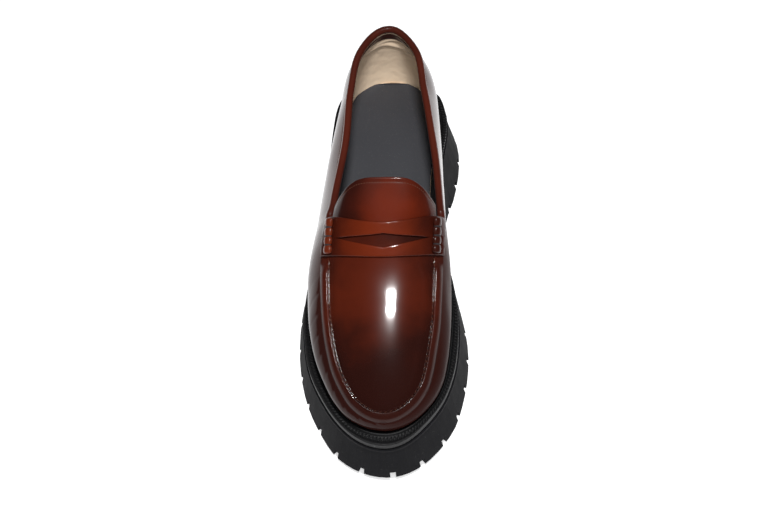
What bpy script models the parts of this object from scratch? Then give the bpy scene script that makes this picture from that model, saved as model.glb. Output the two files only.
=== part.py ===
"""Chunky lug sole loafer, right shoe, as an assembly of separate pieces.

Metres, +Z up. The toe points to -Y and the inner (medial) side of the foot to +X. The shoe
stands on Z = 0, with the origin under the middle of its box. Stations run from the back of the
heel to the tip of the toe, as a share of LENGTH, and every outline is a table of half widths on
each side of the shoe's axis.
"""

from collections import namedtuple
from math import acos, cos, pi, radians, sin

import bmesh
import bpy
from mathutils import Vector

# Driving dimensions of the shoe, in metres.
LENGTH = 0.302
BALL_WIDTH = 0.1141
HEEL_WIDTH = 0.0955
GAP = 0.0003

# Outsole: heights of its rim, toe spring and arch, and the sizes of its lugs.
RIM_HEEL = 0.0400
RIM_BALL = 0.0300
RIM_TOE = 0.0340
TOE_SPRING = 0.0042
ARCH_RISE = 0.0135
HEEL_FRONT = 0.1040
ARCH_FRONT = 0.1460
LIP_HEIGHT = 0.0028
LIP_SET = 0.0009
GROOVE_HEIGHT = 0.0015
GROOVE_DEPTH = 0.0030
LUG_DEPTH = 0.0050
LUG_PITCH = 0.0212
LUG_LENGTH = 0.0150
NOTCH_WIDTH = 0.0036
TOE_NOTCH = 0.0040
CHANNEL_WIDTH = 0.0045
CHANNEL_DEPTH = 0.0049
CHEVRON_PITCH = 0.0230
CHEVRON_SWEEP = 0.0080
CHEVRON_DEPTH = 0.0048
CUT_MARGIN = 0.0040
CUT_FLOOR = -0.0020

# Welt and footbed.
WELT_THICK = 0.0045
WELT_SET = 0.0010
RIB_WIDTH = 0.0016
RIB_HEIGHT = 0.0009
INSOLE_HEEL = 0.0085
INSOLE_BALL = 0.0055
INSOLE_EDGE = 0.0010

# Upper: leather, its heights above the welt, and the sewn seam round the apron.
WALL = 0.0020
WALL_BACK = 0.0520
WALL_TOE = 0.0120
SEAM_WIDTH = 0.0054
SEAM_HEIGHT = 0.0028
SEAM_START = 0.0030
SEAM_FADE = 0.0090
BINDING_WIDTH = 0.0050
BINDING_HEIGHT = 0.0050

# Throat, saddle strap, its rolls and the tongue, as stations along the shoe in metres.
THROAT_SIDE = 0.1680
THROAT_BOW = 0.0125
STRAP_BACK = 0.1626
STRAP_BACK_BOW = 0.0130
STRAP_FRONT = 0.1866
STRAP_FRONT_BOW = 0.0077
STRAP_THICK = 0.0020
STRAP_REACH = 0.998
SLOT_LENGTH = 0.0555
SLOT_WIDTH = 0.0075
SLOT_PLACE = 0.52
ROLL_WIDTH = 0.0062
ROLL_HEIGHT = 0.0040
ROLL_WAIST = 0.70
ROLL_PLACE_LATERAL = 0.82
ROLL_PLACE_MEDIAL = 0.82
ROLL_LUMPS = 4
ROLL_MARGIN = 0.0008
TONGUE_END = 0.1516
TONGUE_EDGE_BOW = 0.0080
TONGUE_FRONT = 0.1960
TONGUE_THICK = 0.0022
TONGUE_REACH = 0.91
TONGUE_CLEARANCE = 0.0005
BINDING_END = 0.1618

# Mesh counts, and the step for slopes on the instep surface.
REAR_COLUMNS = 20
FRONT_COLUMNS = 20
APRON_CELLS = 12
TONGUE_ROWS = 10
TONGUE_CELLS = 18
STRAP_ROWS = 3
STRAP_CELLS = 26
SLOT_STEPS = 4
ROLL_RINGS = 6
BINDING_STEPS = 24
TUBE_SIDES = 8
EDGE_STEPS = 180
NUDGE = 0.0008

AXIS = 0.04 * BALL_WIDTH
MEDIAL = 1
LATERAL = -1

Row = namedtuple("Row", "along lateral medial")
Height = namedtuple("Height", "along share")
RimHeight = namedtuple("RimHeight", "along heel toe")
Span = namedtuple("Span", "back front")
SeamPoint = namedtuple("SeamPoint", "across height")
ArchPoint = namedtuple("ArchPoint", "along rise")

# Where each outline starts and ends, and where one form blends into the next, as shares of LENGTH.
RIM_SPAN = Span(0.018, 0.9855)
FOOT_SPAN = Span(0.0365, 0.949)
BULGE_SPAN = Span(0.026, 0.957)
TOP_SPAN = Span(0.031, 0.9505)
BREADTH_BLEND = Span(0.25, 0.60)
INSTEP_BLEND = Span(0.52, 0.60)
INSTEP_FADE = Span(0.603, 0.735)
TOE_ROUND = Span(0.7285, 0.9505)
INSOLE_BLEND = Span(0.25, 0.55)
SPRING_SPAN = Span(0.76, 1.00)
CHEVRON_SPAN = Span(0.13, 0.86)

# Half widths as shares of the local breadth, at shares of each outline's own length.
SOLE_EDGE = (
    Row(0.080, 0.459, 0.447),
    Row(0.190, 0.507, 0.493),
    Row(0.280, 0.506, 0.447),
    Row(0.340, 0.487, 0.382),
    Row(0.400, 0.478, 0.347),
    Row(0.480, 0.495, 0.367),
    Row(0.560, 0.526, 0.400),
    Row(0.660, 0.540, 0.451),
    Row(0.720, 0.531, 0.460),
    Row(0.830, 0.466, 0.420),
    Row(0.890, 0.393, 0.366),
    Row(0.957, 0.272, 0.238),
)
RIM_EDGE = (
    Row(0.065, 0.382, 0.362),
    Row(0.175, 0.445, 0.413),
    Row(0.270, 0.453, 0.369),
    Row(0.340, 0.448, 0.340),
    Row(0.410, 0.440, 0.326),
    Row(0.490, 0.448, 0.337),
    Row(0.570, 0.473, 0.374),
    Row(0.660, 0.492, 0.406),
    Row(0.720, 0.485, 0.412),
    Row(0.830, 0.427, 0.378),
    Row(0.890, 0.353, 0.323),
    Row(0.955, 0.234, 0.206),
)
FOOT_LINE = (
    Row(0.050, 0.283, 0.272),
    Row(0.165, 0.361, 0.360),
    Row(0.285, 0.395, 0.322),
    Row(0.395, 0.400, 0.296),
    Row(0.505, 0.400, 0.302),
    Row(0.585, 0.412, 0.328),
    Row(0.670, 0.425, 0.364),
    Row(0.770, 0.401, 0.351),
    Row(0.840, 0.363, 0.334),
    Row(0.890, 0.314, 0.305),
    Row(0.935, 0.265, 0.248),
    Row(0.972, 0.186, 0.166),
)
BULGE_LINE = (
    Row(0.060, 0.299, 0.284),
    Row(0.173, 0.368, 0.355),
    Row(0.290, 0.4185, 0.375),
    Row(0.397, 0.427, 0.3645),
    Row(0.505, 0.422, 0.351),
    Row(0.668, 0.445, 0.366),
    Row(0.768, 0.425, 0.361),
    Row(0.836, 0.388, 0.3435),
    Row(0.886, 0.340, 0.317),
    Row(0.929, 0.285, 0.267),
    Row(0.968, 0.206, 0.184),
)
TOP_LINE = (
    Row(0.020, 0.118, 0.108),
    Row(0.070, 0.213, 0.205),
    Row(0.172, 0.275, 0.263),
    Row(0.353, 0.295, 0.325),
    Row(0.505, 0.311, 0.326),
    Row(0.552, 0.326, 0.328),
    Row(0.645, 0.352, 0.324),
    Row(0.740, 0.348, 0.3155),
    Row(0.794, 0.337, 0.307),
    Row(0.848, 0.314, 0.287),
    Row(0.894, 0.282, 0.266),
    Row(0.932, 0.237, 0.235),
    Row(0.964, 0.184, 0.180),
)

# Heights: the rim's shares of its heel and toe rises, the wall's share between WALL_TOE and
# WALL_BACK, the bulge's share of the wall, and how steeply the instep's middle line falls along
# the vamp, with what is added to that behind it and at the toe.
RIM_HEIGHTS = (
    RimHeight(0.00, 1.00, 0.00),
    RimHeight(0.20, 1.00, 0.00),
    RimHeight(0.36, 0.72, 0.00),
    RimHeight(0.50, 0.30, 0.00),
    RimHeight(0.66, 0.00, 0.00),
    RimHeight(0.80, 0.00, 0.12),
    RimHeight(0.90, 0.00, 0.50),
    RimHeight(1.00, 0.00, 1.00),
)
WALL_HEIGHTS = (
    Height(0.035, 1.000),
    Height(0.100, 0.950),
    Height(0.192, 0.820),
    Height(0.358, 0.790),
    Height(0.497, 0.930),
    Height(0.540, 0.970),
    Height(0.580, 0.950),
    Height(0.625, 0.863),
    Height(0.712, 0.650),
    Height(0.762, 0.495),
    Height(0.811, 0.358),
    Height(0.853, 0.243),
    Height(0.888, 0.153),
    Height(0.917, 0.073),
    Height(0.951, 0.000),
)
BULGE_HEIGHTS = (
    Height(0.03, 0.42),
    Height(0.40, 0.40),
    Height(0.75, 0.52),
    Height(0.95, 0.50),
)
VAMP_SLOPE = 0.325
INSTEP_STEEPER = 0.29
TOE_STEEPER = 0.42
TOE_POWER = 1.5
CROWN_POWER_APRON = 2.2
CROWN_POWER_TONGUE = 4.0
SIDE_POWER = 0.8
SIDE_MIDDLE = 0.45
APRON_BOW_POWER = 1.5
TONGUE_EDGE_POWER = 4

# Section of the seam across its width, the arch along its span, and the wall's levels as shares
# of its stretch below the bulge and above it.
SEAM_PROFILE = (
    SeamPoint(0.14, 0.74),
    SeamPoint(0.45, 1.00),
    SeamPoint(0.78, 0.86),
    SeamPoint(1.00, 0.00),
)
ARCH_PROFILE = (
    ArchPoint(0.00, 0.00),
    ArchPoint(0.06, 0.72),
    ArchPoint(0.20, 1.00),
    ArchPoint(0.50, 0.98),
    ArchPoint(0.78, 0.60),
    ArchPoint(1.00, 0.00),
)
LOWER_LEVELS = (0.35, 0.70, 1.00)
UPPER_LEVELS = (0.30, 0.58, 0.82, 1.00)


def clear_scene():
    """Remove every object that the open file already holds."""
    for item in list(bpy.data.objects):
        bpy.data.objects.remove(item, do_unlink=True)


def smooth_step(low, high, value):
    """0 below low, 1 above high and a smooth rise between them."""
    share = min(max((value - low) / (high - low), 0.0), 1.0)
    return share * share * (3.0 - 2.0 * share)


def through(rows, x):
    """The value at x of a smooth curve through (x, y) rows that never overshoots them."""
    if x <= rows[0][0]:
        return rows[0][1]
    if x >= rows[-1][0]:
        return rows[-1][1]
    steps = [b[0] - a[0] for a, b in zip(rows, rows[1:])]
    rises = [(b[1] - a[1]) / step for a, b, step in zip(rows, rows[1:], steps)]
    slopes = [rises[0]]
    for before, after in zip(rises, rises[1:]):
        slopes.append(2.0 * before * after / (before + after) if before * after > 0.0 else 0.0)
    slopes.append(rises[-1])
    index = max(i for i in range(len(steps)) if rows[i][0] <= x)
    step = steps[index]
    t = (x - rows[index][0]) / step
    low, high = rows[index][1], rows[index + 1][1]
    return (
        low * (1.0 + 2.0 * t) * (1.0 - t) ** 2
        + slopes[index] * step * t * (1.0 - t) ** 2
        + high * t * t * (3.0 - 2.0 * t)
        + slopes[index + 1] * step * t * t * (t - 1.0)
    )


def breadth(station):
    """The breadth that the half widths are shares of: the heel's, growing to the ball's."""
    ball = smooth_step(BREADTH_BLEND.back, BREADTH_BLEND.front, station / LENGTH)
    return HEEL_WIDTH + (BALL_WIDTH - HEEL_WIDTH) * ball


class Outline:
    """A closed outline in plan, round at both ends, from a table of half widths."""

    def __init__(self, span, rows):
        self.back = span.back * LENGTH
        self.front = span.front * LENGTH
        self.rows = {
            LATERAL: [(self.turn_of_share(row.along), row.lateral) for row in rows],
            MEDIAL: [(self.turn_of_share(row.along), row.medial) for row in rows],
        }
        for side, pairs in self.rows.items():
            self.rows[side] = [(turn, width / sin(turn)) for turn, width in pairs]

    @staticmethod
    def turn_of_share(share):
        """The turn, from 0 at the heel to pi at the toe, of a share of the outline's length."""
        return acos(min(max(1.0 - 2.0 * share, -1.0), 1.0))

    def turn(self, station):
        """The turn of a station along the shoe."""
        return self.turn_of_share((station - self.back) / (self.front - self.back))

    def station(self, turn):
        """The station of a turn."""
        return self.back + (self.front - self.back) * (1.0 - cos(turn)) / 2.0

    def half(self, turn, side):
        """The half width on one side at a turn."""
        return through(self.rows[side], turn) * sin(turn) * breadth(self.station(turn))

    def point(self, turn, side):
        """The plan point on one side at a turn."""
        return Vector((AXIS + side * self.half(turn, side), LENGTH / 2.0 - self.station(turn), 0.0))

    def ring(self, turns):
        """Plan points from the heel along the medial side to the toe and back laterally."""
        medial = [self.point(turn, MEDIAL) for turn in turns]
        lateral = [self.point(turn, LATERAL) for turn in turns[1:-1]]
        return medial + lateral[::-1]


SOLE = Outline(Span(0.0, 1.0), SOLE_EDGE)
RIM = Outline(RIM_SPAN, RIM_EDGE)
FOOT = Outline(FOOT_SPAN, FOOT_LINE)
BULGE = Outline(BULGE_SPAN, BULGE_LINE)
TOP = Outline(TOP_SPAN, TOP_LINE)


def column_turns(split):
    """Turns of the columns: even ones to the split, and even ones from it to the toe."""
    rear = [split * i / REAR_COLUMNS for i in range(REAR_COLUMNS)]
    front = [split + (pi - split) * i / FRONT_COLUMNS for i in range(FRONT_COLUMNS + 1)]
    return rear + front


TURNS = column_turns(TOP.turn(THROAT_SIDE))
SIDE_COLUMNS = REAR_COLUMNS + FRONT_COLUMNS
ALL_COLUMNS = 2 * SIDE_COLUMNS


def station_of(point):
    """The station along the shoe of a point."""
    return LENGTH / 2.0 - point.y


def rim_height(station):
    """The height of the sole's rim at a station."""
    along = station / LENGTH
    heel = through([(row.along, row.heel) for row in RIM_HEIGHTS], along)
    toe = through([(row.along, row.toe) for row in RIM_HEIGHTS], along)
    return RIM_BALL + heel * (RIM_HEEL - RIM_BALL) + toe * (RIM_TOE - RIM_BALL)


def ground_height(station):
    """The height of the sole's underside: flat, then rising to the toe."""
    spring = max(station / LENGTH - SPRING_SPAN.back, 0.0) / (SPRING_SPAN.front - SPRING_SPAN.back)
    return TOE_SPRING * spring ** 2


def sole_top(station):
    """The height of the sole's top, which welt, upper and insole stand on."""
    return rim_height(station) + GROOVE_HEIGHT


def welt_top(station):
    """The height of the welt's flat top."""
    return sole_top(station) + GAP + WELT_THICK


def top_height(station):
    """The height of the wall's top: the collar's edge at the rear, the seam at the front."""
    share = through(WALL_HEIGHTS, station / LENGTH)
    return welt_top(station) + WALL_TOE + share * (WALL_BACK - WALL_TOE)


def middle_height(station):
    """The height of the instep's middle line: a steep instep, an easy vamp and a round toe."""
    steep_end, easy_start = INSTEP_FADE.back * LENGTH, INSTEP_FADE.front * LENGTH
    toe_start, toe_end = TOE_ROUND.back * LENGTH, TOE_ROUND.front * LENGTH
    fade = min(max((station - steep_end) / (easy_start - steep_end), 0.0), 1.0)
    fading = (easy_start - steep_end) * (0.5 - fade + fade ** 3 - fade ** 4 / 2.0)
    steep = max(steep_end - station, 0.0) + fading
    toe = min(max((station - toe_start) / (toe_end - toe_start), 0.0), 1.0)
    rounding = (toe_end - toe_start) * (1.0 - toe ** (TOE_POWER + 1.0)) / (TOE_POWER + 1.0)
    fall = VAMP_SLOPE * (toe_end - station) + INSTEP_STEEPER * steep + TOE_STEEPER * rounding
    return top_height(toe_end) + fall


def instep(x, station):
    """The point of the instep surface, which apron, strap and tongue follow."""
    turn = TOP.turn(station)
    side = MEDIAL if x > AXIS else LATERAL
    half = max(TOP.half(turn, side), 0.001)
    reach = min(abs(x - AXIS) / half, 1.0)
    along = station / LENGTH
    crown = max(middle_height(station) - top_height(station), 0.0)
    forward = smooth_step(INSTEP_BLEND.back, INSTEP_BLEND.front, along)
    power = CROWN_POWER_TONGUE + (CROWN_POWER_APRON - CROWN_POWER_TONGUE) * forward
    z = top_height(station) + crown * (1.0 - reach ** power)
    return Vector((x, LENGTH / 2.0 - station, z))


def instep_lifted(x, station, lift):
    """A point lifted from the instep surface along its normal."""
    across = instep(x + NUDGE, station) - instep(x - NUDGE, station)
    along = instep(x, station - NUDGE) - instep(x, station + NUDGE)
    return instep(x, station) + across.cross(along).normalized() * lift


def across_instep(reach, station):
    """The x of a share of the half width, -1 at the lateral top line and 1 at the medial one."""
    side = MEDIAL if reach > 0.0 else LATERAL
    return AXIS + reach * TOP.half(TOP.turn(station), side)


def inset(ring, distance):
    """A ring of plan points moved inwards along its own normals."""
    count = len(ring)
    moved = []
    for i, point in enumerate(ring):
        tangent = ring[(i + 1) % count] - ring[i - 1]
        inward = Vector((tangent.y, -tangent.x, 0.0)).normalized()
        moved.append(point + inward * distance)
    return moved


def raised(ring, height):
    """A ring of plan points put at the height that a function gives for each station."""
    return [Vector((point.x, point.y, height(station_of(point)))) for point in ring]


def make_material(name, color, roughness, metallic=0.0):
    """A Principled BSDF material."""
    material = bpy.data.materials.new(name)
    material.use_nodes = True
    shader = material.node_tree.nodes["Principled BSDF"]
    shader.inputs["Base Color"].default_value = (*color, 1.0)
    shader.inputs["Roughness"].default_value = roughness
    shader.inputs["Metallic"].default_value = metallic
    return material


def make_object(name, points, faces, material=None):
    """A mesh object with its faces turned outwards."""
    mesh = bpy.data.meshes.new(name)
    mesh.from_pydata([tuple(point) for point in points], [], faces)
    shape = bmesh.new()
    shape.from_mesh(mesh)
    bmesh.ops.recalc_face_normals(shape, faces=shape.faces)
    shape.to_mesh(mesh)
    shape.free()
    mesh.shade_smooth()
    mesh.set_sharp_from_angle(angle=radians(35))
    item = bpy.data.objects.new(name, mesh)
    bpy.context.scene.collection.objects.link(item)
    if material:
        mesh.materials.append(material)
    return item


def hide_cutter(cutter):
    """Mark an object as a cutter, which is no part of the shoe."""
    cutter.hide_render = True
    cutter.display_type = "WIRE"


def cut(item, cutter):
    """Take a cutter's space out of an object."""
    hide_cutter(cutter)
    modifier = item.modifiers.new("cut", "BOOLEAN")
    modifier.operation = "DIFFERENCE"
    modifier.solver = "EXACT"
    modifier.use_self = True
    modifier.object = cutter


def ring_faces(first, second, count, closed=True):
    """Quads between two rings of vertex numbers that start at first and second."""
    last = count if closed else count - 1
    return [
        (first + i, first + (i + 1) % count, second + (i + 1) % count, second + i)
        for i in range(last)
    ]


def cap_faces(first, count):
    """Strips across a ring, from its medial half to its lateral half."""
    half = count // 2
    faces = [(first, first + 1, first + count - 1)]
    for i in range(1, half - 1):
        faces.append((first + i, first + i + 1, first + count - i - 1, first + count - i))
    faces.append((first + half - 1, first + half, first + half + 1))
    return faces


def stacked_solid(rings):
    """Points and faces of a solid with a stack of rings and a cap at each end."""
    count = len(rings[0])
    points = [point for ring in rings for point in ring]
    faces = cap_faces(0, count) + cap_faces(count * (len(rings) - 1), count)
    for level in range(len(rings) - 1):
        faces += ring_faces(level * count, (level + 1) * count, count)
    return points, faces


def looped_solid(rings):
    """Points and faces of a hollow ring whose section is the loop of the given rings."""
    count = len(rings[0])
    points = [point for ring in rings for point in ring]
    faces = []
    for level in range(len(rings)):
        after = (level + 1) % len(rings)
        faces += ring_faces(level * count, after * count, count)
    return points, faces


def sheet_solid(top, bottom):
    """Points and faces of a thin solid between two equal grids of points."""
    rows, columns = len(top), len(top[0])
    points = [point for row in top for point in row] + [point for row in bottom for point in row]
    under = rows * columns
    faces = []
    for i in range(rows - 1):
        for j in range(columns - 1):
            cell = (i * columns + j, i * columns + j + 1, (i + 1) * columns + j + 1, (i + 1) * columns + j)
            faces.append(cell)
            faces.append(tuple(under + corner for corner in reversed(cell)))
    edge = [j for j in range(columns)]
    edge += [i * columns + columns - 1 for i in range(1, rows)]
    edge += [(rows - 1) * columns + j for j in range(columns - 2, -1, -1)]
    edge += [i * columns for i in range(rows - 2, 0, -1)]
    for a, b in zip(edge, edge[1:] + edge[:1]):
        faces.append((a, b, under + b, under + a))
    return points, faces


def prism(outline, low, high):
    """Points and faces of an upright prism over a plan outline."""
    count = len(outline)
    points = [Vector((p.x, p.y, low)) for p in outline] + [Vector((p.x, p.y, high)) for p in outline]
    faces = [tuple(range(count)), tuple(range(2 * count - 1, count - 1, -1))]
    return points, faces + ring_faces(0, count, count)


def joined(name, pieces):
    """One object of several (points, faces) pieces."""
    points, faces = [], []
    for piece_points, piece_faces in pieces:
        faces += [tuple(len(points) + i for i in face) for face in piece_faces]
        points += piece_points
    return make_object(name, points, faces)


def side_ring(share):
    """The sole's side between its bottom edge and its rim, slightly hollow."""
    bottom = SOLE.ring(TURNS)
    rim = RIM.ring(TURNS)
    ring = []
    for low, high in zip(bottom, rim):
        point = low.lerp(high, share ** SIDE_POWER)
        ground = ground_height(station_of(low))
        top = rim_height(station_of(high)) - LIP_HEIGHT
        ring.append(Vector((point.x, point.y, ground + share * (top - ground))))
    return ring


def outsole_body():
    """The unit sole before its arch and lugs are cut."""
    rim = RIM.ring(TURNS)
    neck = inset(rim, GROOVE_DEPTH)
    under_lip = [Vector((p.x, p.y, rim_height(station_of(p)) - LIP_HEIGHT)) for p in inset(rim, LIP_SET)]
    rings = [
        side_ring(0.0),
        side_ring(SIDE_MIDDLE),
        under_lip,
        raised(rim, lambda s: rim_height(s) - LIP_HEIGHT + LIP_SET),
        raised(rim, rim_height),
        raised(neck, rim_height),
        raised(neck, sole_top),
    ]
    return stacked_solid(rings)


def arch_cutter():
    """The raised arch between heel and forefoot, as a profile drawn across the shoe."""
    span = ARCH_FRONT - HEEL_FRONT
    profile = [(HEEL_FRONT + row.along * span, row.rise * ARCH_RISE) for row in ARCH_PROFILE]
    profile = [(HEEL_FRONT, CUT_FLOOR)] + profile + [(ARCH_FRONT, CUT_FLOOR)]
    count = len(profile)
    points = [
        Vector((x, LENGTH / 2.0 - station, z))
        for x in (-BALL_WIDTH, BALL_WIDTH)
        for station, z in profile
    ]
    faces = [tuple(range(count)), tuple(range(2 * count - 1, count - 1, -1))]
    return make_object("arch_cutter", points, faces + ring_faces(0, count, count))


def in_arch(station):
    """Whether a station lies over the raised arch."""
    return HEEL_FRONT - NOTCH_WIDTH < station < ARCH_FRONT + NOTCH_WIDTH


def notch_cutters():
    """A slot between each two lugs of the edge, all round heel and forefoot."""
    edge = SOLE.ring([pi * i / EDGE_STEPS for i in range(EDGE_STEPS + 1)])
    steps = [(edge[(i + 1) % len(edge)] - edge[i]).length for i in range(len(edge))]
    pitch = sum(steps) / round(sum(steps) / LUG_PITCH)
    to_toe = sum(steps[:EDGE_STEPS])
    pieces, travelled, wanted = [], 0.0, (to_toe - TOE_NOTCH) % pitch
    for i, step in enumerate(steps):
        while wanted <= travelled + step:
            after = edge[(i + 1) % len(edge)]
            point = edge[i].lerp(after, (wanted - travelled) / step)
            tangent = (after - edge[i]).normalized()
            inward = Vector((tangent.y, -tangent.x, 0.0))
            wanted += pitch
            if in_arch(station_of(point)):
                continue
            outer = point - inward * CUT_MARGIN
            inner = point + inward * LUG_LENGTH
            side = tangent * NOTCH_WIDTH / 2.0
            roof = ground_height(station_of(point)) + LUG_DEPTH
            corners = [outer - side, outer + side, inner + side, inner - side]
            pieces.append(prism(corners, CUT_FLOOR, roof))
        travelled += step
    return pieces


def channel_cutter():
    """The channel that runs round inside the lugs of the edge."""
    edge = SOLE.ring(TURNS)
    outer = inset(edge, LUG_LENGTH - CHANNEL_WIDTH / 2.0)
    inner = inset(edge, LUG_LENGTH + CHANNEL_WIDTH / 2.0)

    def roof(station):
        """The channel's depth above the sole's underside."""
        return ground_height(station) + CHANNEL_DEPTH

    def floor(station):
        """A level below the sole's underside."""
        return ground_height(station) + CUT_FLOOR

    rings = [raised(outer, floor), raised(outer, roof), raised(inner, roof), raised(inner, floor)]
    return looped_solid(rings)


def chevron_cutters():
    """Chevron grooves across the middle of heel and forefoot."""
    pieces = []
    count = int((CHEVRON_SPAN.front - CHEVRON_SPAN.back) * LENGTH / CHEVRON_PITCH) + 1
    for i in range(count):
        station = CHEVRON_SPAN.back * LENGTH + i * CHEVRON_PITCH
        if in_arch(station) or in_arch(station + CHEVRON_SWEEP):
            continue
        turn = SOLE.turn(station)
        roof = ground_height(station) + CHEVRON_DEPTH
        tip = Vector((AXIS, LENGTH / 2.0 - station - CHEVRON_SWEEP, 0.0))
        for side in (MEDIAL, LATERAL):
            reach = max(SOLE.half(turn, side) - LUG_LENGTH, CHANNEL_WIDTH)
            end = Vector((AXIS + side * reach, LENGTH / 2.0 - station, 0.0))
            start = tip - Vector((side * CHANNEL_WIDTH / 2.0, 0.0, 0.0))
            along = Vector((0.0, CHANNEL_WIDTH / 2.0, 0.0))
            pieces.append(prism([start - along, end - along, end + along, start + along], CUT_FLOOR, roof))
    return pieces


def build_outsole():
    """The moulded unit sole with its arch, channel, notches and chevrons."""
    rubber = make_material("sole_rubber", (0.012, 0.012, 0.013), 0.62)
    points, faces = outsole_body()
    sole = make_object("outsole", points, faces, rubber)
    cut(sole, arch_cutter())
    cut(sole, joined("tread_cutter", notch_cutters() + [channel_cutter()] + chevron_cutters()))
    return sole


def build_welt():
    """The welt strip, all round, with a raised rib along its inner edge."""
    black = make_material("welt_rubber", (0.010, 0.010, 0.011), 0.45)
    outer = inset(RIM.ring(TURNS), WELT_SET)
    inner = inset(FOOT.ring(TURNS), -GAP)
    rib = inset(inner, -RIB_WIDTH)

    def under(station):
        """The welt's underside, clear of the sole."""
        return sole_top(station) + GAP

    def rib_top(station):
        """The top of the rib along the upper."""
        return welt_top(station) + RIB_HEIGHT

    rings = [
        raised(outer, under),
        raised(outer, welt_top),
        raised(rib, welt_top),
        raised(inset(rib, RIB_WIDTH * 0.25), rib_top),
        raised(inner, rib_top),
        raised(inner, under),
    ]
    points, faces = looped_solid(rings)
    return make_object("welt", points, faces, black)


def wall_column(column):
    """Outer points of one column of the wall, from the sole to the top line."""
    side = MEDIAL if column <= SIDE_COLUMNS else LATERAL
    turn = TURNS[column if column <= SIDE_COLUMNS else ALL_COLUMNS - column]
    foot, bulge, top = (outline.point(turn, side) for outline in (FOOT, BULGE, TOP))
    foot_z = sole_top(station_of(foot)) + GAP
    start_z = welt_top(station_of(foot)) + RIB_HEIGHT + GAP
    top_z = top_height(station_of(top))
    bulge_share = through(BULGE_HEIGHTS, station_of(bulge) / LENGTH)
    bulge_z = start_z + bulge_share * (top_z - start_z)
    column_points = [Vector((foot.x, foot.y, foot_z)), Vector((foot.x, foot.y, start_z))]
    for share in LOWER_LEVELS:
        point = foot.lerp(bulge, 1.0 - (1.0 - share) ** 2)
        column_points.append(Vector((point.x, point.y, start_z + share * (bulge_z - start_z))))
    for share in UPPER_LEVELS:
        point = bulge.lerp(top, share ** 2)
        column_points.append(Vector((point.x, point.y, bulge_z + share * (top_z - bulge_z))))
    return column_points


def seam_fade(station):
    """The seam's height share: it starts in front of the strap."""
    start = STRAP_FRONT + SEAM_START
    return smooth_step(start, start + SEAM_FADE, station)


def upper_columns(height_share):
    """Columns of the outer surface, with the seam at a share of its height."""
    top_ring = TOP.ring(TURNS)
    columns = [wall_column(column) for column in range(ALL_COLUMNS)]
    for row in SEAM_PROFILE:
        moved = inset(top_ring, SEAM_WIDTH * row.across)
        for column in range(REAR_COLUMNS, ALL_COLUMNS - REAR_COLUMNS + 1):
            place = moved[column]
            base = instep(place.x, station_of(place))
            rise = SEAM_HEIGHT * row.height * seam_fade(station_of(place)) * height_share
            columns[column].append(base + Vector((0.0, 0.0, rise)))
    return columns


def apron_rows(columns):
    """Rows across the apron between the two stitch lines, from the throat to the toe."""
    rows = []
    for step in range(FRONT_COLUMNS):
        medial = columns[REAR_COLUMNS + step][-1]
        lateral = columns[ALL_COLUMNS - REAR_COLUMNS - step][-1]
        bow = THROAT_BOW * (1.0 - step / FRONT_COLUMNS) ** APRON_BOW_POWER
        row = []
        for cell in range(1, APRON_CELLS):
            share = cell / APRON_CELLS
            place = medial.lerp(lateral, share)
            station = station_of(place) + bow * (1.0 - (2.0 * share - 1.0) ** 2)
            row.append(instep(place.x, station))
        rows.append(row)
    return rows


class Shell:
    """One face of the upper: its points, their numbers and the faces between them."""

    def __init__(self, height_share, first=0):
        self.columns = upper_columns(height_share)
        self.rows = apron_rows(self.columns)
        self.first = first
        self.points = []
        self.column_ids = []
        for column in self.columns:
            self.column_ids.append(self.number(column))
        self.row_ids = [self.number(row) for row in self.rows]

    def number(self, points):
        """Number some points and keep them."""
        start = self.first + len(self.points)
        self.points += points
        return list(range(start, start + len(points)))

    def ladder(self):
        """The full rows across the apron, stitch line to stitch line."""
        full = []
        for step, row in enumerate(self.row_ids):
            medial = self.column_ids[REAR_COLUMNS + step][-1]
            lateral = self.column_ids[ALL_COLUMNS - REAR_COLUMNS - step][-1]
            full.append([medial] + row + [lateral])
        return full

    def faces(self):
        """Faces of the wall, the seam and the apron."""
        faces = []
        for column in range(ALL_COLUMNS):
            here = self.column_ids[column]
            after = self.column_ids[(column + 1) % ALL_COLUMNS]
            for level in range(min(len(here), len(after)) - 1):
                faces.append((here[level], after[level], after[level + 1], here[level + 1]))
        ladder = self.ladder()
        for row, after in zip(ladder, ladder[1:]):
            for cell in range(APRON_CELLS):
                faces.append((row[cell], row[cell + 1], after[cell + 1], after[cell]))
        tip = self.column_ids[SIDE_COLUMNS][-1]
        last = ladder[-1]
        faces += [(last[cell], last[cell + 1], tip) for cell in range(APRON_CELLS)]
        return faces

    def rim(self):
        """The edge round collar and throat, as a closed list of numbers."""
        levels = len(self.columns[0]) - 1
        rear = [self.column_ids[column][levels] for column in range(REAR_COLUMNS)]
        medial = self.column_ids[REAR_COLUMNS][levels:-1]
        throat = self.ladder()[0]
        last = ALL_COLUMNS - REAR_COLUMNS
        lateral = self.column_ids[last][levels:-1][::-1]
        back = [self.column_ids[column][levels] for column in range(last + 1, ALL_COLUMNS)]
        return rear + medial + throat + lateral + back

    def foot(self):
        """The edge on the sole, as a closed list of numbers."""
        return [ids[0] for ids in self.column_ids]


def shell_normals(shell):
    """Outward vertex normals of a shell's surface."""
    mesh = bmesh.new()
    vertices = [mesh.verts.new(point) for point in shell.points]
    for face in shell.faces():
        mesh.faces.new([vertices[i] for i in face])
    mesh.normal_update()
    normals = [vertex.normal.copy() for vertex in vertices]
    mesh.free()
    toe = shell.column_ids[SIDE_COLUMNS][3]
    sign = 1.0 if normals[toe].y < 0.0 else -1.0
    return [normal * sign for normal in normals]


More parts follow.
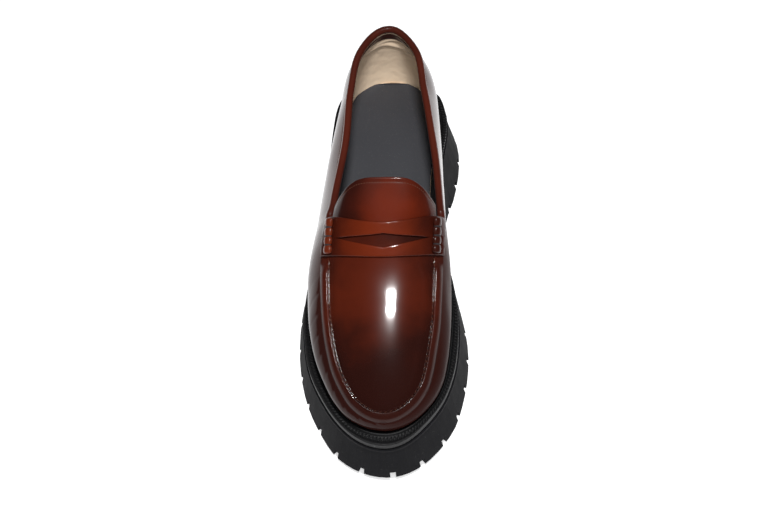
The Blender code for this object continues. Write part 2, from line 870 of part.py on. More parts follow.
def build_upper():
    """The hollow upper: wall, seam and apron, open at collar, throat and underneath."""
    leather = make_material("brown_leather", (0.115, 0.028, 0.010), 0.16)
    base = Shell(0.0)
    normals = shell_normals(base)
    outer = Shell(1.0)
    inner_points = [point - normal * WALL for point, normal in zip(base.points, normals)]
    levels = len(base.columns[0]) - 1
    for column in range(ALL_COLUMNS):
        level_ids = [base.column_ids[column][0]]
        if column < REAR_COLUMNS or column > ALL_COLUMNS - REAR_COLUMNS:
            level_ids.append(base.column_ids[column][levels])
        for i in level_ids:
            inner_points[i].z = base.points[i].z
    under = len(outer.points)
    faces = outer.faces() + [tuple(under + i for i in reversed(face)) for face in base.faces()]
    for edge in (outer.rim(), outer.foot()):
        for a, b in zip(edge, edge[1:] + edge[:1]):
            faces.append((a, b, under + b, under + a))
    return make_object("upper", outer.points + inner_points, faces, leather)


def build_insole():
    """The footbed, inside the foot of the wall."""
    sock = make_material("sock_leather", (0.035, 0.037, 0.040), 0.5)
    ring = inset(FOOT.ring(TURNS), WALL + GAP)

    def footbed(station):
        """The height of the sock's surface: thick at the heel and thin at the ball."""
        ball = smooth_step(INSOLE_BLEND.back, INSOLE_BLEND.front, station / LENGTH)
        return sole_top(station) + GAP + INSOLE_HEEL + (INSOLE_BALL - INSOLE_HEEL) * ball

    rings = [
        raised(ring, lambda s: sole_top(s) + GAP),
        raised(ring, lambda s: footbed(s) - INSOLE_EDGE),
        raised(inset(ring, INSOLE_EDGE), footbed),
    ]
    points, faces = stacked_solid(rings)
    return make_object("insole", points, faces, sock)


def build_tongue():
    """The tongue, from under the apron to its free edge behind the strap."""
    leather = make_material("tongue_leather", (0.150, 0.036, 0.012), 0.18)
    top, bottom = [], []
    for i in range(TONGUE_ROWS + 1):
        upper_row, lower_row = [], []
        for j in range(TONGUE_CELLS + 1):
            reach = TONGUE_REACH * (2.0 * j / TONGUE_CELLS - 1.0)
            back = TONGUE_END + TONGUE_EDGE_BOW * abs(reach) ** TONGUE_EDGE_POWER
            station = back + (TONGUE_FRONT - back) * i / TONGUE_ROWS
            x = across_instep(reach, station)
            under = smooth_step(STRAP_BACK, THROAT_SIDE, station)
            sunk = TONGUE_CLEARANCE + WALL * under
            upper_row.append(instep_lifted(x, station, -sunk))
            lower_row.append(instep_lifted(x, station, -sunk - TONGUE_THICK))
        top.append(upper_row)
        bottom.append(lower_row)
    points, faces = sheet_solid(top, bottom)
    return make_object("tongue", points, faces, leather)


def strap_stations(reach):
    """The rear and front stations of the strap at a share of the half width."""
    bow = 1.0 - reach * reach
    return STRAP_BACK + STRAP_BACK_BOW * bow, STRAP_FRONT + STRAP_FRONT_BOW * bow


def slot_corner(reach, share):
    """The plan point at a share of the half width and a share of the strap's own width."""
    rear, front = strap_stations(reach)
    station = rear + (front - rear) * share
    return Vector((across_instep(reach, station), LENGTH / 2.0 - station, 0.0))


def slot_cutter():
    """The diamond slot through the middle of the strap, which follows the strap's curve."""
    rear, front = strap_stations(0.0)
    half_length = SLOT_LENGTH / 2.0 / TOP.half(TOP.turn((rear + front) / 2.0), MEDIAL)
    half_width = SLOT_WIDTH / 2.0 / (front - rear)
    corners = ((-half_length, 0.0), (0.0, half_width), (half_length, 0.0), (0.0, -half_width))
    outline = []
    for (reach, aside), (next_reach, next_aside) in zip(corners, corners[1:] + corners[:1]):
        for step in range(SLOT_STEPS):
            share = step / SLOT_STEPS
            across = reach + (next_reach - reach) * share
            outline.append(slot_corner(across, SLOT_PLACE + aside + (next_aside - aside) * share))
    top = middle_height(STRAP_BACK) + CUT_MARGIN
    points, faces = prism(outline, top_height(STRAP_FRONT), top)
    return make_object("slot_cutter", points, faces)


def build_strap():
    """The saddle strap over the instep, with its slot."""
    leather = make_material("strap_leather", (0.190, 0.050, 0.015), 0.18)
    top, bottom = [], []
    for j in range(STRAP_CELLS + 1):
        reach = STRAP_REACH * (2.0 * j / STRAP_CELLS - 1.0)
        rear, front = strap_stations(reach)
        over, under = [], []
        for i in range(STRAP_ROWS + 1):
            station = rear + (front - rear) * i / STRAP_ROWS
            x = across_instep(reach, station)
            over.append(instep_lifted(x, station, GAP + STRAP_THICK))
            under.append(instep_lifted(x, station, GAP))
        top.append(over)
        bottom.append(under)
    points, faces = sheet_solid(top, bottom)
    strap = make_object("strap", points, faces, leather)
    cut(strap, slot_cutter())
    return strap


def tube(path, radii, across, up):
    """Points and faces of a tube of oval rings along a path, with a cap at each end."""
    points = []
    for centre, radius, side, rise in zip(path, radii, across, up):
        for k in range(TUBE_SIDES):
            angle = 2.0 * pi * (k + 0.5) / TUBE_SIDES
            points.append(centre + side * (radius[0] * cos(angle)) + rise * (radius[1] * sin(angle)))
    last = (len(path) - 1) * TUBE_SIDES
    faces = [tuple(range(TUBE_SIDES)), tuple(range(last + TUBE_SIDES - 1, last - 1, -1))]
    for i in range(len(path) - 1):
        faces += ring_faces(i * TUBE_SIDES, (i + 1) * TUBE_SIDES, TUBE_SIDES)
    return points, faces


def build_roll(name, place):
    """A beef roll: leather drawn into lumps by the thread that sews the strap down."""
    leather = make_material(name + "_leather", (0.170, 0.042, 0.014), 0.2)
    rear, front = strap_stations(place)
    rear, front = rear + ROLL_MARGIN, front - ROLL_MARGIN
    rings = ROLL_RINGS * ROLL_LUMPS
    path, radii, across, up = [], [], [], []
    for i in range(rings + 1):
        share = i / rings
        station = rear + (front - rear) * share
        x = across_instep(place, station)
        swell = ROLL_WAIST + (1.0 - ROLL_WAIST) * abs(sin(pi * ROLL_LUMPS * share)) ** 0.5
        base = instep(x, station)
        normal = (instep_lifted(x, station, NUDGE) - base).normalized()
        ahead = instep(across_instep(place, station + NUDGE), station + NUDGE)
        path.append(base + normal * (2.0 * GAP + STRAP_THICK + ROLL_HEIGHT / 2.0))
        radii.append((swell * ROLL_WIDTH / 2.0, swell * ROLL_HEIGHT / 2.0))
        across.append((ahead - base).cross(normal).normalized())
        up.append(normal)
    points, faces = tube(path, radii, across, up)
    return make_object(name, points, faces, leather)


def build_binding():
    """The rolled bead on the collar's edge, from one end of the strap round the heel to the other."""
    leather = make_material("binding_leather", (0.120, 0.026, 0.012), 0.3)
    end = TOP.turn(BINDING_END)
    turns = [end * i / BINDING_STEPS for i in range(BINDING_STEPS + 1)]
    lateral = [TOP.point(turn, LATERAL) for turn in reversed(turns)]
    medial = [TOP.point(turn, MEDIAL) for turn in turns[1:]]
    edge = lateral + medial
    path, radii, across, up = [], [], [], []
    for i, point in enumerate(edge):
        tangent = (edge[min(i + 1, len(edge) - 1)] - edge[max(i - 1, 0)]).normalized()
        inward = Vector((tangent.y, -tangent.x, 0.0))
        centre = point + inward * WALL / 2.0
        centre.z = top_height(station_of(point)) + GAP + BINDING_HEIGHT / 2.0
        path.append(centre)
        radii.append((BINDING_WIDTH / 2.0, BINDING_HEIGHT / 2.0))
        across.append(inward)
        up.append(Vector((0.0, 0.0, 1.0)))
    points, faces = tube(path, radii, across, up)
    return make_object("collar_binding", points, faces, leather)


def main():
    """Build every piece of the shoe."""
    clear_scene()
    build_outsole()
    build_welt()
    build_upper()
    build_insole()
    build_tongue()
    build_strap()
    build_roll("beef_roll_lateral", LATERAL * ROLL_PLACE_LATERAL)
    build_roll("beef_roll_medial", MEDIAL * ROLL_PLACE_MEDIAL)
    build_binding()


main()
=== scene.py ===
"""The looks of a chunky lug sole loafer, right shoe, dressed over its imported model.

Metres, +Z up. The toe points to -Y and the inner (medial) side of the foot to +X. Angles run round
the shoe in plan: 0 at the back of the heel, pi at the toe, with the medial side between them, and
on along the lateral side to 2 pi. Stations run from the back of the heel to the tip of the toe.
"""

import logging
from collections.abc import Callable
from dataclasses import dataclass
from enum import IntEnum
from functools import cached_property
from math import cos, pi, radians, sin
from typing import NamedTuple

import bmesh
import bpy
import numpy as np
from mathutils import Matrix, Vector


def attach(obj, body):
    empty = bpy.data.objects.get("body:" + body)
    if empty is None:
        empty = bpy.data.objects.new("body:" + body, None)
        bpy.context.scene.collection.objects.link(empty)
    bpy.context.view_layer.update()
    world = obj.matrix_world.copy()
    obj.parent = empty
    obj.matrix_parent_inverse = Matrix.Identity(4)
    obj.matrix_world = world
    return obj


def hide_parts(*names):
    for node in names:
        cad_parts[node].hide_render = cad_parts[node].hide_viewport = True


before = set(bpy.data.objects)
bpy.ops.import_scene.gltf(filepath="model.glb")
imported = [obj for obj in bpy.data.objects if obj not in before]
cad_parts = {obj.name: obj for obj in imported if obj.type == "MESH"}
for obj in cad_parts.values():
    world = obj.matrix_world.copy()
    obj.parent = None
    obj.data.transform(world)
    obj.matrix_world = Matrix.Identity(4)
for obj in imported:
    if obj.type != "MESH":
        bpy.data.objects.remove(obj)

LOG = logging.getLogger("loafer")
MM = 0.001
Array = np.ndarray
Place = Callable[[Array, Array], Array]
Color = tuple[float, float, float]
Point = tuple[float, float, float]


class Side(IntEnum):
    """The two sides of the foot, as the sign of their direction across the shoe."""

    MEDIAL = 1
    LATERAL = -1


class Zone(IntEnum):
    """The parts of the upper's shell that differ in finish, as the index of their material."""

    WALL = 0
    SEAM = 1
    APRON = 2


class EdgeRow(NamedTuple):
    """Half widths of an outline on both sides, as shares of the breadth, at a share of its length."""

    along: float
    lateral: float
    medial: float


class HeightRow(NamedTuple):
    """A share of a height at a share of the shoe's length."""

    along: float
    share: float


class RimRow(NamedTuple):
    """The rim's shares of its heel and toe rises at a share of the shoe's length."""

    along: float
    heel: float
    toe: float


class WeltRow(NamedTuple):
    """A point of the welt's section: its share of the width and its rise in millimetres."""

    share: float
    rise: float


class Span(NamedTuple):
    """Where something starts and ends, from heel to toe, as shares of the shoe's length."""

    back: float
    front: float


RIM_EDGE = (
    EdgeRow(0.065, 0.382, 0.362),
    EdgeRow(0.175, 0.445, 0.413),
    EdgeRow(0.270, 0.453, 0.369),
    EdgeRow(0.340, 0.448, 0.340),
    EdgeRow(0.410, 0.440, 0.326),
    EdgeRow(0.490, 0.448, 0.337),
    EdgeRow(0.570, 0.473, 0.374),
    EdgeRow(0.660, 0.492, 0.406),
    EdgeRow(0.720, 0.485, 0.412),
    EdgeRow(0.830, 0.427, 0.378),
    EdgeRow(0.890, 0.353, 0.323),
    EdgeRow(0.955, 0.234, 0.206),
)
FOOT_LINE = (
    EdgeRow(0.050, 0.283, 0.272),
    EdgeRow(0.165, 0.361, 0.360),
    EdgeRow(0.285, 0.395, 0.322),
    EdgeRow(0.395, 0.400, 0.296),
    EdgeRow(0.505, 0.400, 0.302),
    EdgeRow(0.585, 0.412, 0.328),
    EdgeRow(0.670, 0.425, 0.364),
    EdgeRow(0.770, 0.401, 0.351),
    EdgeRow(0.840, 0.363, 0.334),
    EdgeRow(0.890, 0.314, 0.305),
    EdgeRow(0.935, 0.265, 0.248),
    EdgeRow(0.972, 0.186, 0.166),
)
BULGE_LINE = (
    EdgeRow(0.060, 0.299, 0.284),
    EdgeRow(0.173, 0.368, 0.355),
    EdgeRow(0.290, 0.4185, 0.375),
    EdgeRow(0.397, 0.427, 0.3645),
    EdgeRow(0.505, 0.422, 0.351),
    EdgeRow(0.668, 0.445, 0.366),
    EdgeRow(0.768, 0.425, 0.361),
    EdgeRow(0.836, 0.388, 0.3435),
    EdgeRow(0.886, 0.340, 0.317),
    EdgeRow(0.929, 0.285, 0.267),
    EdgeRow(0.968, 0.206, 0.184),
)
TOP_LINE = (
    EdgeRow(0.020, 0.118, 0.108),
    EdgeRow(0.070, 0.213, 0.205),
    EdgeRow(0.172, 0.275, 0.263),
    EdgeRow(0.353, 0.295, 0.325),
    EdgeRow(0.505, 0.311, 0.326),
    EdgeRow(0.552, 0.326, 0.328),
    EdgeRow(0.645, 0.352, 0.324),
    EdgeRow(0.740, 0.348, 0.3155),
    EdgeRow(0.794, 0.337, 0.307),
    EdgeRow(0.848, 0.314, 0.287),
    EdgeRow(0.894, 0.282, 0.266),
    EdgeRow(0.932, 0.237, 0.235),
    EdgeRow(0.964, 0.184, 0.180),
)
RIM_HEIGHTS = (
    RimRow(0.00, 1.00, 0.00),
    RimRow(0.20, 1.00, 0.00),
    RimRow(0.36, 0.72, 0.00),
    RimRow(0.50, 0.30, 0.00),
    RimRow(0.66, 0.00, 0.00),
    RimRow(0.80, 0.00, 0.12),
    RimRow(0.90, 0.00, 0.50),
    RimRow(1.00, 0.00, 1.00),
)
WALL_HEIGHTS = (
    HeightRow(0.035, 1.000),
    HeightRow(0.100, 0.950),
    HeightRow(0.192, 0.820),
    HeightRow(0.358, 0.790),
    HeightRow(0.497, 0.930),
    HeightRow(0.540, 0.970),
    HeightRow(0.580, 0.950),
    HeightRow(0.625, 0.863),
    HeightRow(0.712, 0.650),
    HeightRow(0.762, 0.495),
    HeightRow(0.811, 0.358),
    HeightRow(0.853, 0.243),
    HeightRow(0.888, 0.153),
    HeightRow(0.917, 0.073),
    HeightRow(0.951, 0.000),
)
BULGE_HEIGHTS = (
    HeightRow(0.03, 0.42),
    HeightRow(0.40, 0.40),
    HeightRow(0.75, 0.52),
    HeightRow(0.95, 0.50),
)
WELT_SECTION = (
    WeltRow(0.00, -0.90),
    WeltRow(0.01, -0.35),
    WeltRow(0.04, -0.06),
    WeltRow(0.08, 0.00),
    WeltRow(0.20, 0.00),
    WeltRow(0.24, -0.25),
    WeltRow(0.30, -0.45),
    WeltRow(0.50, -0.45),
    WeltRow(0.60, -0.25),
    WeltRow(0.66, 0.10),
    WeltRow(0.70, 0.50),
    WeltRow(0.74, 0.80),
    WeltRow(0.80, 0.90),
    WeltRow(0.88, 0.85),
    WeltRow(0.96, 0.50),
    WeltRow(1.00, 0.10),
)


def smooth_step(low: float, high: float, value: Array) -> Array:
    """0 below low, 1 above high and a smooth rise between them."""
    share = np.clip((value - low) / (high - low), 0.0, 1.0)
    return share * share * (3.0 - 2.0 * share)


def bump(centre: float, width: float, value: Array) -> Array:
    """A soft hill of height 1 about a centre, which ends at a width from it."""
    share = np.clip(np.abs(value - centre) / width, 0.0, 1.0)
    return (1.0 - share * share) ** 2


class Curve:
    """A smooth curve through points that never overshoots them and runs level past its ends."""

    def __init__(self, x: list[float], y: list[float]) -> None:
        """Keep the points and work out the slope at each.

        Args:
            x: Rising places of the points.
            y: The value at each place.
        """
        self.x = np.array(x, float)
        self.y = np.array(y, float)
        self.steps = np.diff(self.x)
        rises = np.diff(self.y) / self.steps
        before, after = rises[:-1], rises[1:]
        same = before * after > 0.0
        total = np.where(same, before + after, 1.0)
        inner = np.where(same, 2.0 * before * after / total, 0.0)
        self.slopes = np.concatenate([rises[:1], inner, rises[-1:]])

    def __call__(self, place: Array) -> Array:
        """The curve's values at some places.

        Args:
            place: Places to read the curve at.

        Returns:
            The values there.
        """
        place = np.clip(place, self.x[0], self.x[-1])
        index = np.clip(np.searchsorted(self.x, place, side="right") - 1, 0, len(self.steps) - 1)
        step = self.steps[index]
        t = (place - self.x[index]) / step
        return (
            self.y[index] * (1.0 + 2.0 * t) * (1.0 - t) ** 2
            + self.slopes[index] * step * t * (1.0 - t) ** 2
            + self.y[index + 1] * t * t * (3.0 - 2.0 * t)
            + self.slopes[index + 1] * step * t * t * (t - 1.0)
        )


def heights(rows: tuple[HeightRow, ...]) -> Curve:
    """The curve of a table of heights."""
    return Curve([row.along for row in rows], [row.share for row in rows])


def turn_of_share(share: Array) -> Array:
    """The turn, from 0 at the heel to pi at the toe, of a share of an outline's length."""
    return np.arccos(np.clip(1.0 - 2.0 * np.asarray(share, float), -1.0, 1.0))


class Outline:
    """A closed outline in plan, round at both ends, from a table of half widths."""

    def __init__(self, last: "Last", span: Span, rows: tuple[EdgeRow, ...]) -> None:
        """Work out the outline's curves.

        Args:
            last: The shoe's sizes.
            span: Where the outline starts and ends along the shoe.
            rows: Its half widths on both sides.
        """
        self.last = last
        self.back = span.back * last.length
        self.front = span.front * last.length
        turns = turn_of_share([row.along for row in rows])
        self.medial = Curve(turns, [row.medial for row in rows] / np.sin(turns))
        self.lateral = Curve(turns, [row.lateral for row in rows] / np.sin(turns))

    def turn(self, station: Array) -> Array:
        """The turn of stations along the shoe."""
        return turn_of_share((station - self.back) / (self.front - self.back))

    def station(self, turn: Array) -> Array:
        """The station of turns."""
        return self.back + (self.front - self.back) * (1.0 - np.cos(turn)) / 2.0

    def half(self, turn: Array, side: Array) -> Array:
        """The half width at turns, on the side that a sign gives."""
        width = np.where(side > 0, self.medial(turn), self.lateral(turn))
        return width * np.sin(turn) * self.last.breadth(self.station(turn))

    def plan(self, angle: Array) -> Array:
        """Plan points at angles round the shoe.

        Args:
            angle: Angles round the shoe.

        Returns:
            The x and y at each angle.
        """
        angle = np.mod(angle, 2.0 * pi)
        side = np.where(angle <= pi, Side.MEDIAL, Side.LATERAL)
        turn = np.where(angle <= pi, angle, 2.0 * pi - angle)
        x = self.last.axis + side * self.half(turn, side)
        return np.stack([x, self.last.length / 2.0 - self.station(turn)], axis=-1)

    def inward(self, angle: Array) -> Array:
        """Plan directions that point into the outline.

        Args:
            angle: Angles round the shoe.

        Returns:
            A direction of length 1 at each angle.
        """
        step = 0.002
        tangent = self.plan(angle + step) - self.plan(angle - step)
        normal = np.stack([tangent[..., 1], -tangent[..., 0]], axis=-1)
        return normal / np.linalg.norm(normal, axis=-1, keepdims=True)

    def inset(self, angle: Array, distance: Array) -> Array:
        """Plan points moved into the outline by a distance."""
        return self.plan(angle) + self.inward(angle) * np.asarray(distance)[..., None]


@dataclass(frozen=True)
class Last:
    """The shoe's form: its sizes in metres, and the surfaces that its pieces follow."""

    length: float = 0.302
    ball_width: float = 0.1141
    heel_width: float = 0.0955
    gap: float = 0.0003
    rim_heel: float = 0.0400
    rim_ball: float = 0.0300
    rim_toe: float = 0.0340
    groove_height: float = 0.0015
    welt_thick: float = 0.0045
    rib_height: float = 0.0009
    wall_back: float = 0.0520
    wall_toe: float = 0.0120
    vamp_slope: float = 0.325
    instep_steeper: float = 0.29
    toe_steeper: float = 0.42
    toe_power: float = 1.5
    axis_share: float = 0.04
    apron_power: float = 2.2
    tongue_power: float = 4.0
    upper_wall: float = 0.0020
    throat_side: float = 0.1680
    throat_bow: float = 0.0125
    strap_front: float = 0.1866
    insole_heel: float = 0.0085
    insole_ball: float = 0.0055
    breadth_blend: Span = Span(0.25, 0.60)
    instep_blend: Span = Span(0.52, 0.60)
    insole_blend: Span = Span(0.25, 0.55)
    instep_fade: Span = Span(0.603, 0.735)
    toe_round: Span = Span(0.7285, 0.9505)

    @cached_property
    def axis(self) -> float:
        """The x of the shoe's long axis."""
        return self.axis_share * self.ball_width

    @cached_property
    def rim(self) -> Outline:
        """The outline of the sole's upper rim."""
        return Outline(self, Span(0.018, 0.9855), RIM_EDGE)

    @cached_property
    def foot(self) -> Outline:
        """The line where the upper meets the welt."""
        return Outline(self, Span(0.0365, 0.949), FOOT_LINE)

    @cached_property
    def bulge(self) -> Outline:
        """The upper's widest line."""
        return Outline(self, Span(0.026, 0.957), BULGE_LINE)

    @cached_property
    def top(self) -> Outline:
        """The collar's edge at the rear, and the outer edge of the apron's seam at the front."""
        return Outline(self, Span(0.031, 0.9505), TOP_LINE)

    @cached_property
    def curves(self) -> dict[str, Curve]:
        """The curves of the tables of heights, by name.

        Returns:
            The curves.
        """
        along = [row.along for row in RIM_HEIGHTS]
        return {
            "rim_heel": Curve(along, [row.heel for row in RIM_HEIGHTS]),
            "rim_toe": Curve(along, [row.toe for row in RIM_HEIGHTS]),
            "wall": heights(WALL_HEIGHTS),
            "bulge": heights(BULGE_HEIGHTS),
        }

    def station_of(self, plan: Array) -> Array:
        """The stations of plan points."""
        return self.length / 2.0 - plan[..., 1]

    def breadth(self, station: Array) -> Array:
        """The breadth that half widths are shares of."""
        ball = smooth_step(*self.breadth_blend, station / self.length)
        return self.heel_width + (self.ball_width - self.heel_width) * ball

    def rim_height(self, station: Array) -> Array:
        """The height of the sole's rim.

        Args:
            station: Stations along the shoe.

        Returns:
            The heights there.
        """
        along = station / self.length
        heel = self.curves["rim_heel"](along) * (self.rim_heel - self.rim_ball)
        return self.rim_ball + heel + self.curves["rim_toe"](along) * (self.rim_toe - self.rim_ball)

    def sole_top(self, station: Array) -> Array:
        """The height of the sole's top."""
        return self.rim_height(station) + self.groove_height

    def welt_top(self, station: Array) -> Array:
        """The height of the welt's flat top."""
        return self.sole_top(station) + self.gap + self.welt_thick

    def footbed(self, station: Array) -> Array:
        """The height of the sock's surface.

        Args:
            station: Stations along the shoe.

        Returns:
            The heights there.
        """
        ball = smooth_step(*self.insole_blend, station / self.length)
        thick = self.insole_heel + (self.insole_ball - self.insole_heel) * ball
        return self.sole_top(station) + self.gap + thick

    def top_height(self, station: Array) -> Array:
        """The height of the wall's top line."""
        share = self.curves["wall"](station / self.length)
        return self.welt_top(station) + self.wall_toe + share * (self.wall_back - self.wall_toe)

    def middle_height(self, station: Array) -> Array:
        """The height of the instep's middle line: a steep instep, an easy vamp and a round toe.

        Args:
            station: Stations along the shoe.

        Returns:
            The heights there.
        """
        steep_end, easy_start = (share * self.length for share in self.instep_fade)
        toe_start, toe_end = (share * self.length for share in self.toe_round)
        fade = np.clip((station - steep_end) / (easy_start - steep_end), 0.0, 1.0)
        fading = (easy_start - steep_end) * (0.5 - fade + fade ** 3 - fade ** 4 / 2.0)
        steep = np.maximum(steep_end - station, 0.0) + fading
        toe = np.clip((station - toe_start) / (toe_end - toe_start), 0.0, 1.0)
        rounding = (toe_end - toe_start) * (1.0 - toe ** (self.toe_power + 1.0)) / (self.toe_power + 1.0)
        fall = self.vamp_slope * (toe_end - station) + self.instep_steeper * steep
        return self.top_height(np.array(toe_end)) + fall + self.toe_steeper * rounding

    def instep(self, x: Array, station: Array) -> Array:
        """Points of the instep surface, which apron, strap and tongue follow.

        Args:
            x: Places across the shoe.
            station: Stations along it.

        Returns:
            The points.
        """
        side = np.where(x > self.axis, Side.MEDIAL, Side.LATERAL)
        half = np.maximum(self.top.half(self.top.turn(station), side), MM)
        reach = np.minimum(np.abs(x - self.axis) / half, 1.0)
        along = station / self.length
        forward = smooth_step(*self.instep_blend, along)
        power = self.tongue_power + (self.apron_power - self.tongue_power) * forward
        rise = np.maximum(self.middle_height(station) - self.top_height(station), 0.0)
        rise = rise * (1.0 - reach ** power)
        z = self.top_height(station) + rise
        return np.stack([x + 0.0 * z, self.length / 2.0 - station + 0.0 * z, z], axis=-1)

    def across(self, reach: Array, station: Array) -> Array:
        """The x of a share of the instep's half width."""
        side = np.where(reach > 0.0, Side.MEDIAL, Side.LATERAL)
        return self.axis + reach * self.top.half(self.top.turn(station), side)

    def over_instep(self, reach: Array, station: Array, lift: Array) -> Array:
        """Points lifted from the instep surface, at a reach across it and a station."""
        return lifted(self.instep, self.across(reach, station), station, lift, MM)

    def wall(self, angle: Array, level: Array) -> Array:
        """Points of the upper's smooth outer wall.

        Args:
            angle: Angles round the shoe.
            level: Below 0 inside the welt, 0 at its top, 1 at the bulge and 2 at the top line.

        Returns:
            The points.
        """
        foot, widest, top = self.foot.plan(angle), self.bulge.plan(angle), self.top.plan(angle)
        start = self.welt_top(self.station_of(foot)) + self.rib_height + self.gap
        end = self.top_height(self.station_of(top))
        share = self.curves["bulge"](self.station_of(widest) / self.length)
        middle = start + share * (end - start)
        low = np.clip(level, 0.0, 1.0)
        high = np.clip(level - 1.0, 0.0, 1.0)
        plan = foot + (widest - foot) * (1.0 - (1.0 - low) ** 2)[..., None]
        plan = plan + (top - widest) * (high ** 2)[..., None]
        z = start + low * (middle - start) + high * (end - middle)
        z = z + np.minimum(level, 0.0) * (self.welt_thick + self.rib_height)
        return np.concatenate([plan, z[..., None]], axis=-1)

    def level_below_top(self, angle: Array, depth: Array) -> Array:
        """The wall's level at a depth below its top line.

        Args:
            angle: Angles round the shoe.
            depth: Depths below the top line.

        Returns:
            The levels.
        """
        top = self.wall(angle, np.full_like(angle, 2.0))[..., 2]
        middle = self.wall(angle, np.full_like(angle, 1.0))[..., 2]
        return 2.0 - depth / (top - middle)

    def on_wall(self, angle: Array, level: Array, lift: Array) -> Array:
        """Points lifted from the wall."""
        return lifted(self.wall, angle, level, lift, 0.004)


def lifted(place: Place, u: Array, v: Array, lift: Array, step: float) -> Array:
    """Points moved off a surface along its normal.

    Args:
        place: The surface, as points at u and v.
        u: First coordinates.
        v: Second coordinates.
        lift: How far each point moves outwards.
        step: The step in u and v that slopes are taken over.

    Returns:
        The moved points.
    """
    along_u = place(u + step, v) - place(u - step, v)
    along_v = place(u, v + step) - place(u, v - step)
    normal = np.cross(along_v, along_u)
    normal = normal / np.maximum(np.linalg.norm(normal, axis=-1, keepdims=True), 1e-12)
    return place(u, v) + normal * np.asarray(lift)[..., None]


def travelled(points: Array) -> Array:
    """The distance along a line of points at each of them."""
    steps = np.linalg.norm(np.diff(points, axis=0), axis=-1)
    return np.concatenate([[0.0], np.cumsum(steps)])


def evenly(points: Array, values: Array, pitch: float) -> Array:
    """Values at even distances along a line of points, half a pitch from its ends.

    Args:
        points: The line's points.
        values: A value at each point.
        pitch: The wanted distance.

    Returns:
        The values at the even places.
    """
    along = travelled(points)
    count = max(int(along[-1] / pitch), 1)
    wanted = (np.arange(count) + 0.5) * along[-1] / count
    return np.interp(wanted, along, values)


def with_edges(count: int, margin: float, length: float) -> Array:
    """Shares from 0 to 1 that crowd near both ends, for a rounded edge.

    Args:
        count: How many steps lie between the two edges.
        margin: The width of each rounded edge.
        length: The whole length that the shares are of.

    Returns:
        The shares.
    """
    near = margin / length * np.array([0.0, 0.06, 0.2, 0.45, 0.75])
    middle = np.linspace(margin / length, 1.0 - margin / length, count + 1)
    return np.concatenate([near, middle, 1.0 - near[::-1]])


def grid_distances(points: Array) -> tuple[Array, Array]:
    """Measure how far each point of a grid lies from the grid's first row and first column.

    Args:
        points: Rows of points.

    Returns:
        The distances down the columns and along the rows.
    """
    down = np.linalg.norm(np.diff(points, axis=0), axis=-1)
    along = np.linalg.norm(np.diff(points, axis=1), axis=-1)
    from_row = np.concatenate([np.zeros((1, points.shape[1])), np.cumsum(down, axis=0)])
    from_column = np.concatenate([np.zeros((points.shape[0], 1)), np.cumsum(along, axis=1)], axis=1)
    return from_row, from_column


def rounding(near: Array, radius: float) -> Array:
    """How far a rounded edge falls away at distances from it."""
    fall = radius - np.clip(near, 0.0, radius)
    return radius - np.sqrt(np.maximum(radius ** 2 - fall ** 2, 0.0))


class MeshMaker:
    """Collects grids of points and welds them into one mesh object."""

    def __init__(self) -> None:
        """Start with nothing."""
        self.points: list[Array] = []
        self.faces: list[tuple[int, ...]] = []
        self.count = 0

    def grid(self, points: Array, around: bool = False, ends: bool = False) -> None:
        """Add the quads of a grid.

        Args:
            points: Rows of points.
            around: Whether each row closes on itself.
            ends: Whether the first and the last row are filled with a face.
        """
        rows, columns = points.shape[:2]
        ids = self.count + np.arange(rows * columns).reshape(rows, columns)
        self.points.append(points.reshape(-1, 3))
        self.count += rows * columns
        if ends:
            self.faces.append(tuple(ids[0].tolist()))
            self.faces.append(tuple(ids[-1][::-1].tolist()))
        if around:
            ids = np.concatenate([ids, ids[:, :1]], axis=1)
        quads = np.stack([ids[:-1, :-1], ids[:-1, 1:], ids[1:, 1:], ids[1:, :-1]], axis=-1)
        self.faces += [tuple(quad) for quad in quads.reshape(-1, 4).tolist()]

    def slab(self, top: Array, bottom: Array, around: bool = False) -> None:
        """Add a thin solid between two equal grids.

        Args:
            top: The outer grid.
            bottom: The inner grid.
            around: Whether each row closes on itself.
        """
        self.grid(top, around)
        self.grid(bottom, around)
        self.grid(np.stack([top[0], bottom[0]]), around)
        self.grid(np.stack([top[-1], bottom[-1]]), around)
        if not around:
            self.grid(np.stack([top[:, 0], bottom[:, 0]]))
            self.grid(np.stack([top[:, -1], bottom[:, -1]]))

    def build(self, name: str, sharp: float = 50.0) -> bpy.types.Object:
        """Weld the grids and make an object of them.

        Args:
            name: The object's name.
            sharp: The angle in degrees above which an edge stays sharp.

        Returns:
            The object, linked to the scene.
        """
        mesh = bpy.data.meshes.new(name)
        mesh.from_pydata(np.concatenate(self.points).tolist(), [], self.faces)
        shape = bmesh.new()
        shape.from_mesh(mesh)
        bmesh.ops.remove_doubles(shape, verts=shape.verts, dist=2e-6)
        bmesh.ops.dissolve_degenerate(shape, edges=shape.edges, dist=1e-7)
        bmesh.ops.recalc_face_normals(shape, faces=shape.faces)
        shape.to_mesh(mesh)
        shape.free()
        mesh.shade_smooth()
        mesh.set_sharp_from_angle(angle=radians(sharp))
        item = bpy.data.objects.new(name, mesh)
        bpy.context.scene.collection.objects.link(item)
        return item


def frames_of(points: Array, normals: Array) -> tuple[Array, Array]:
    """Directions along a line of points and across it, square to its normals.

    Args:
        points: The line's points.
        normals: The outward direction at each point.

    Returns:
        The directions along and across.
    """
    along = np.gradient(points, axis=0)
    along = along / np.linalg.norm(along, axis=-1, keepdims=True)
    across = np.cross(along, normals)
    return along, across / np.linalg.norm(across, axis=-1, keepdims=True)


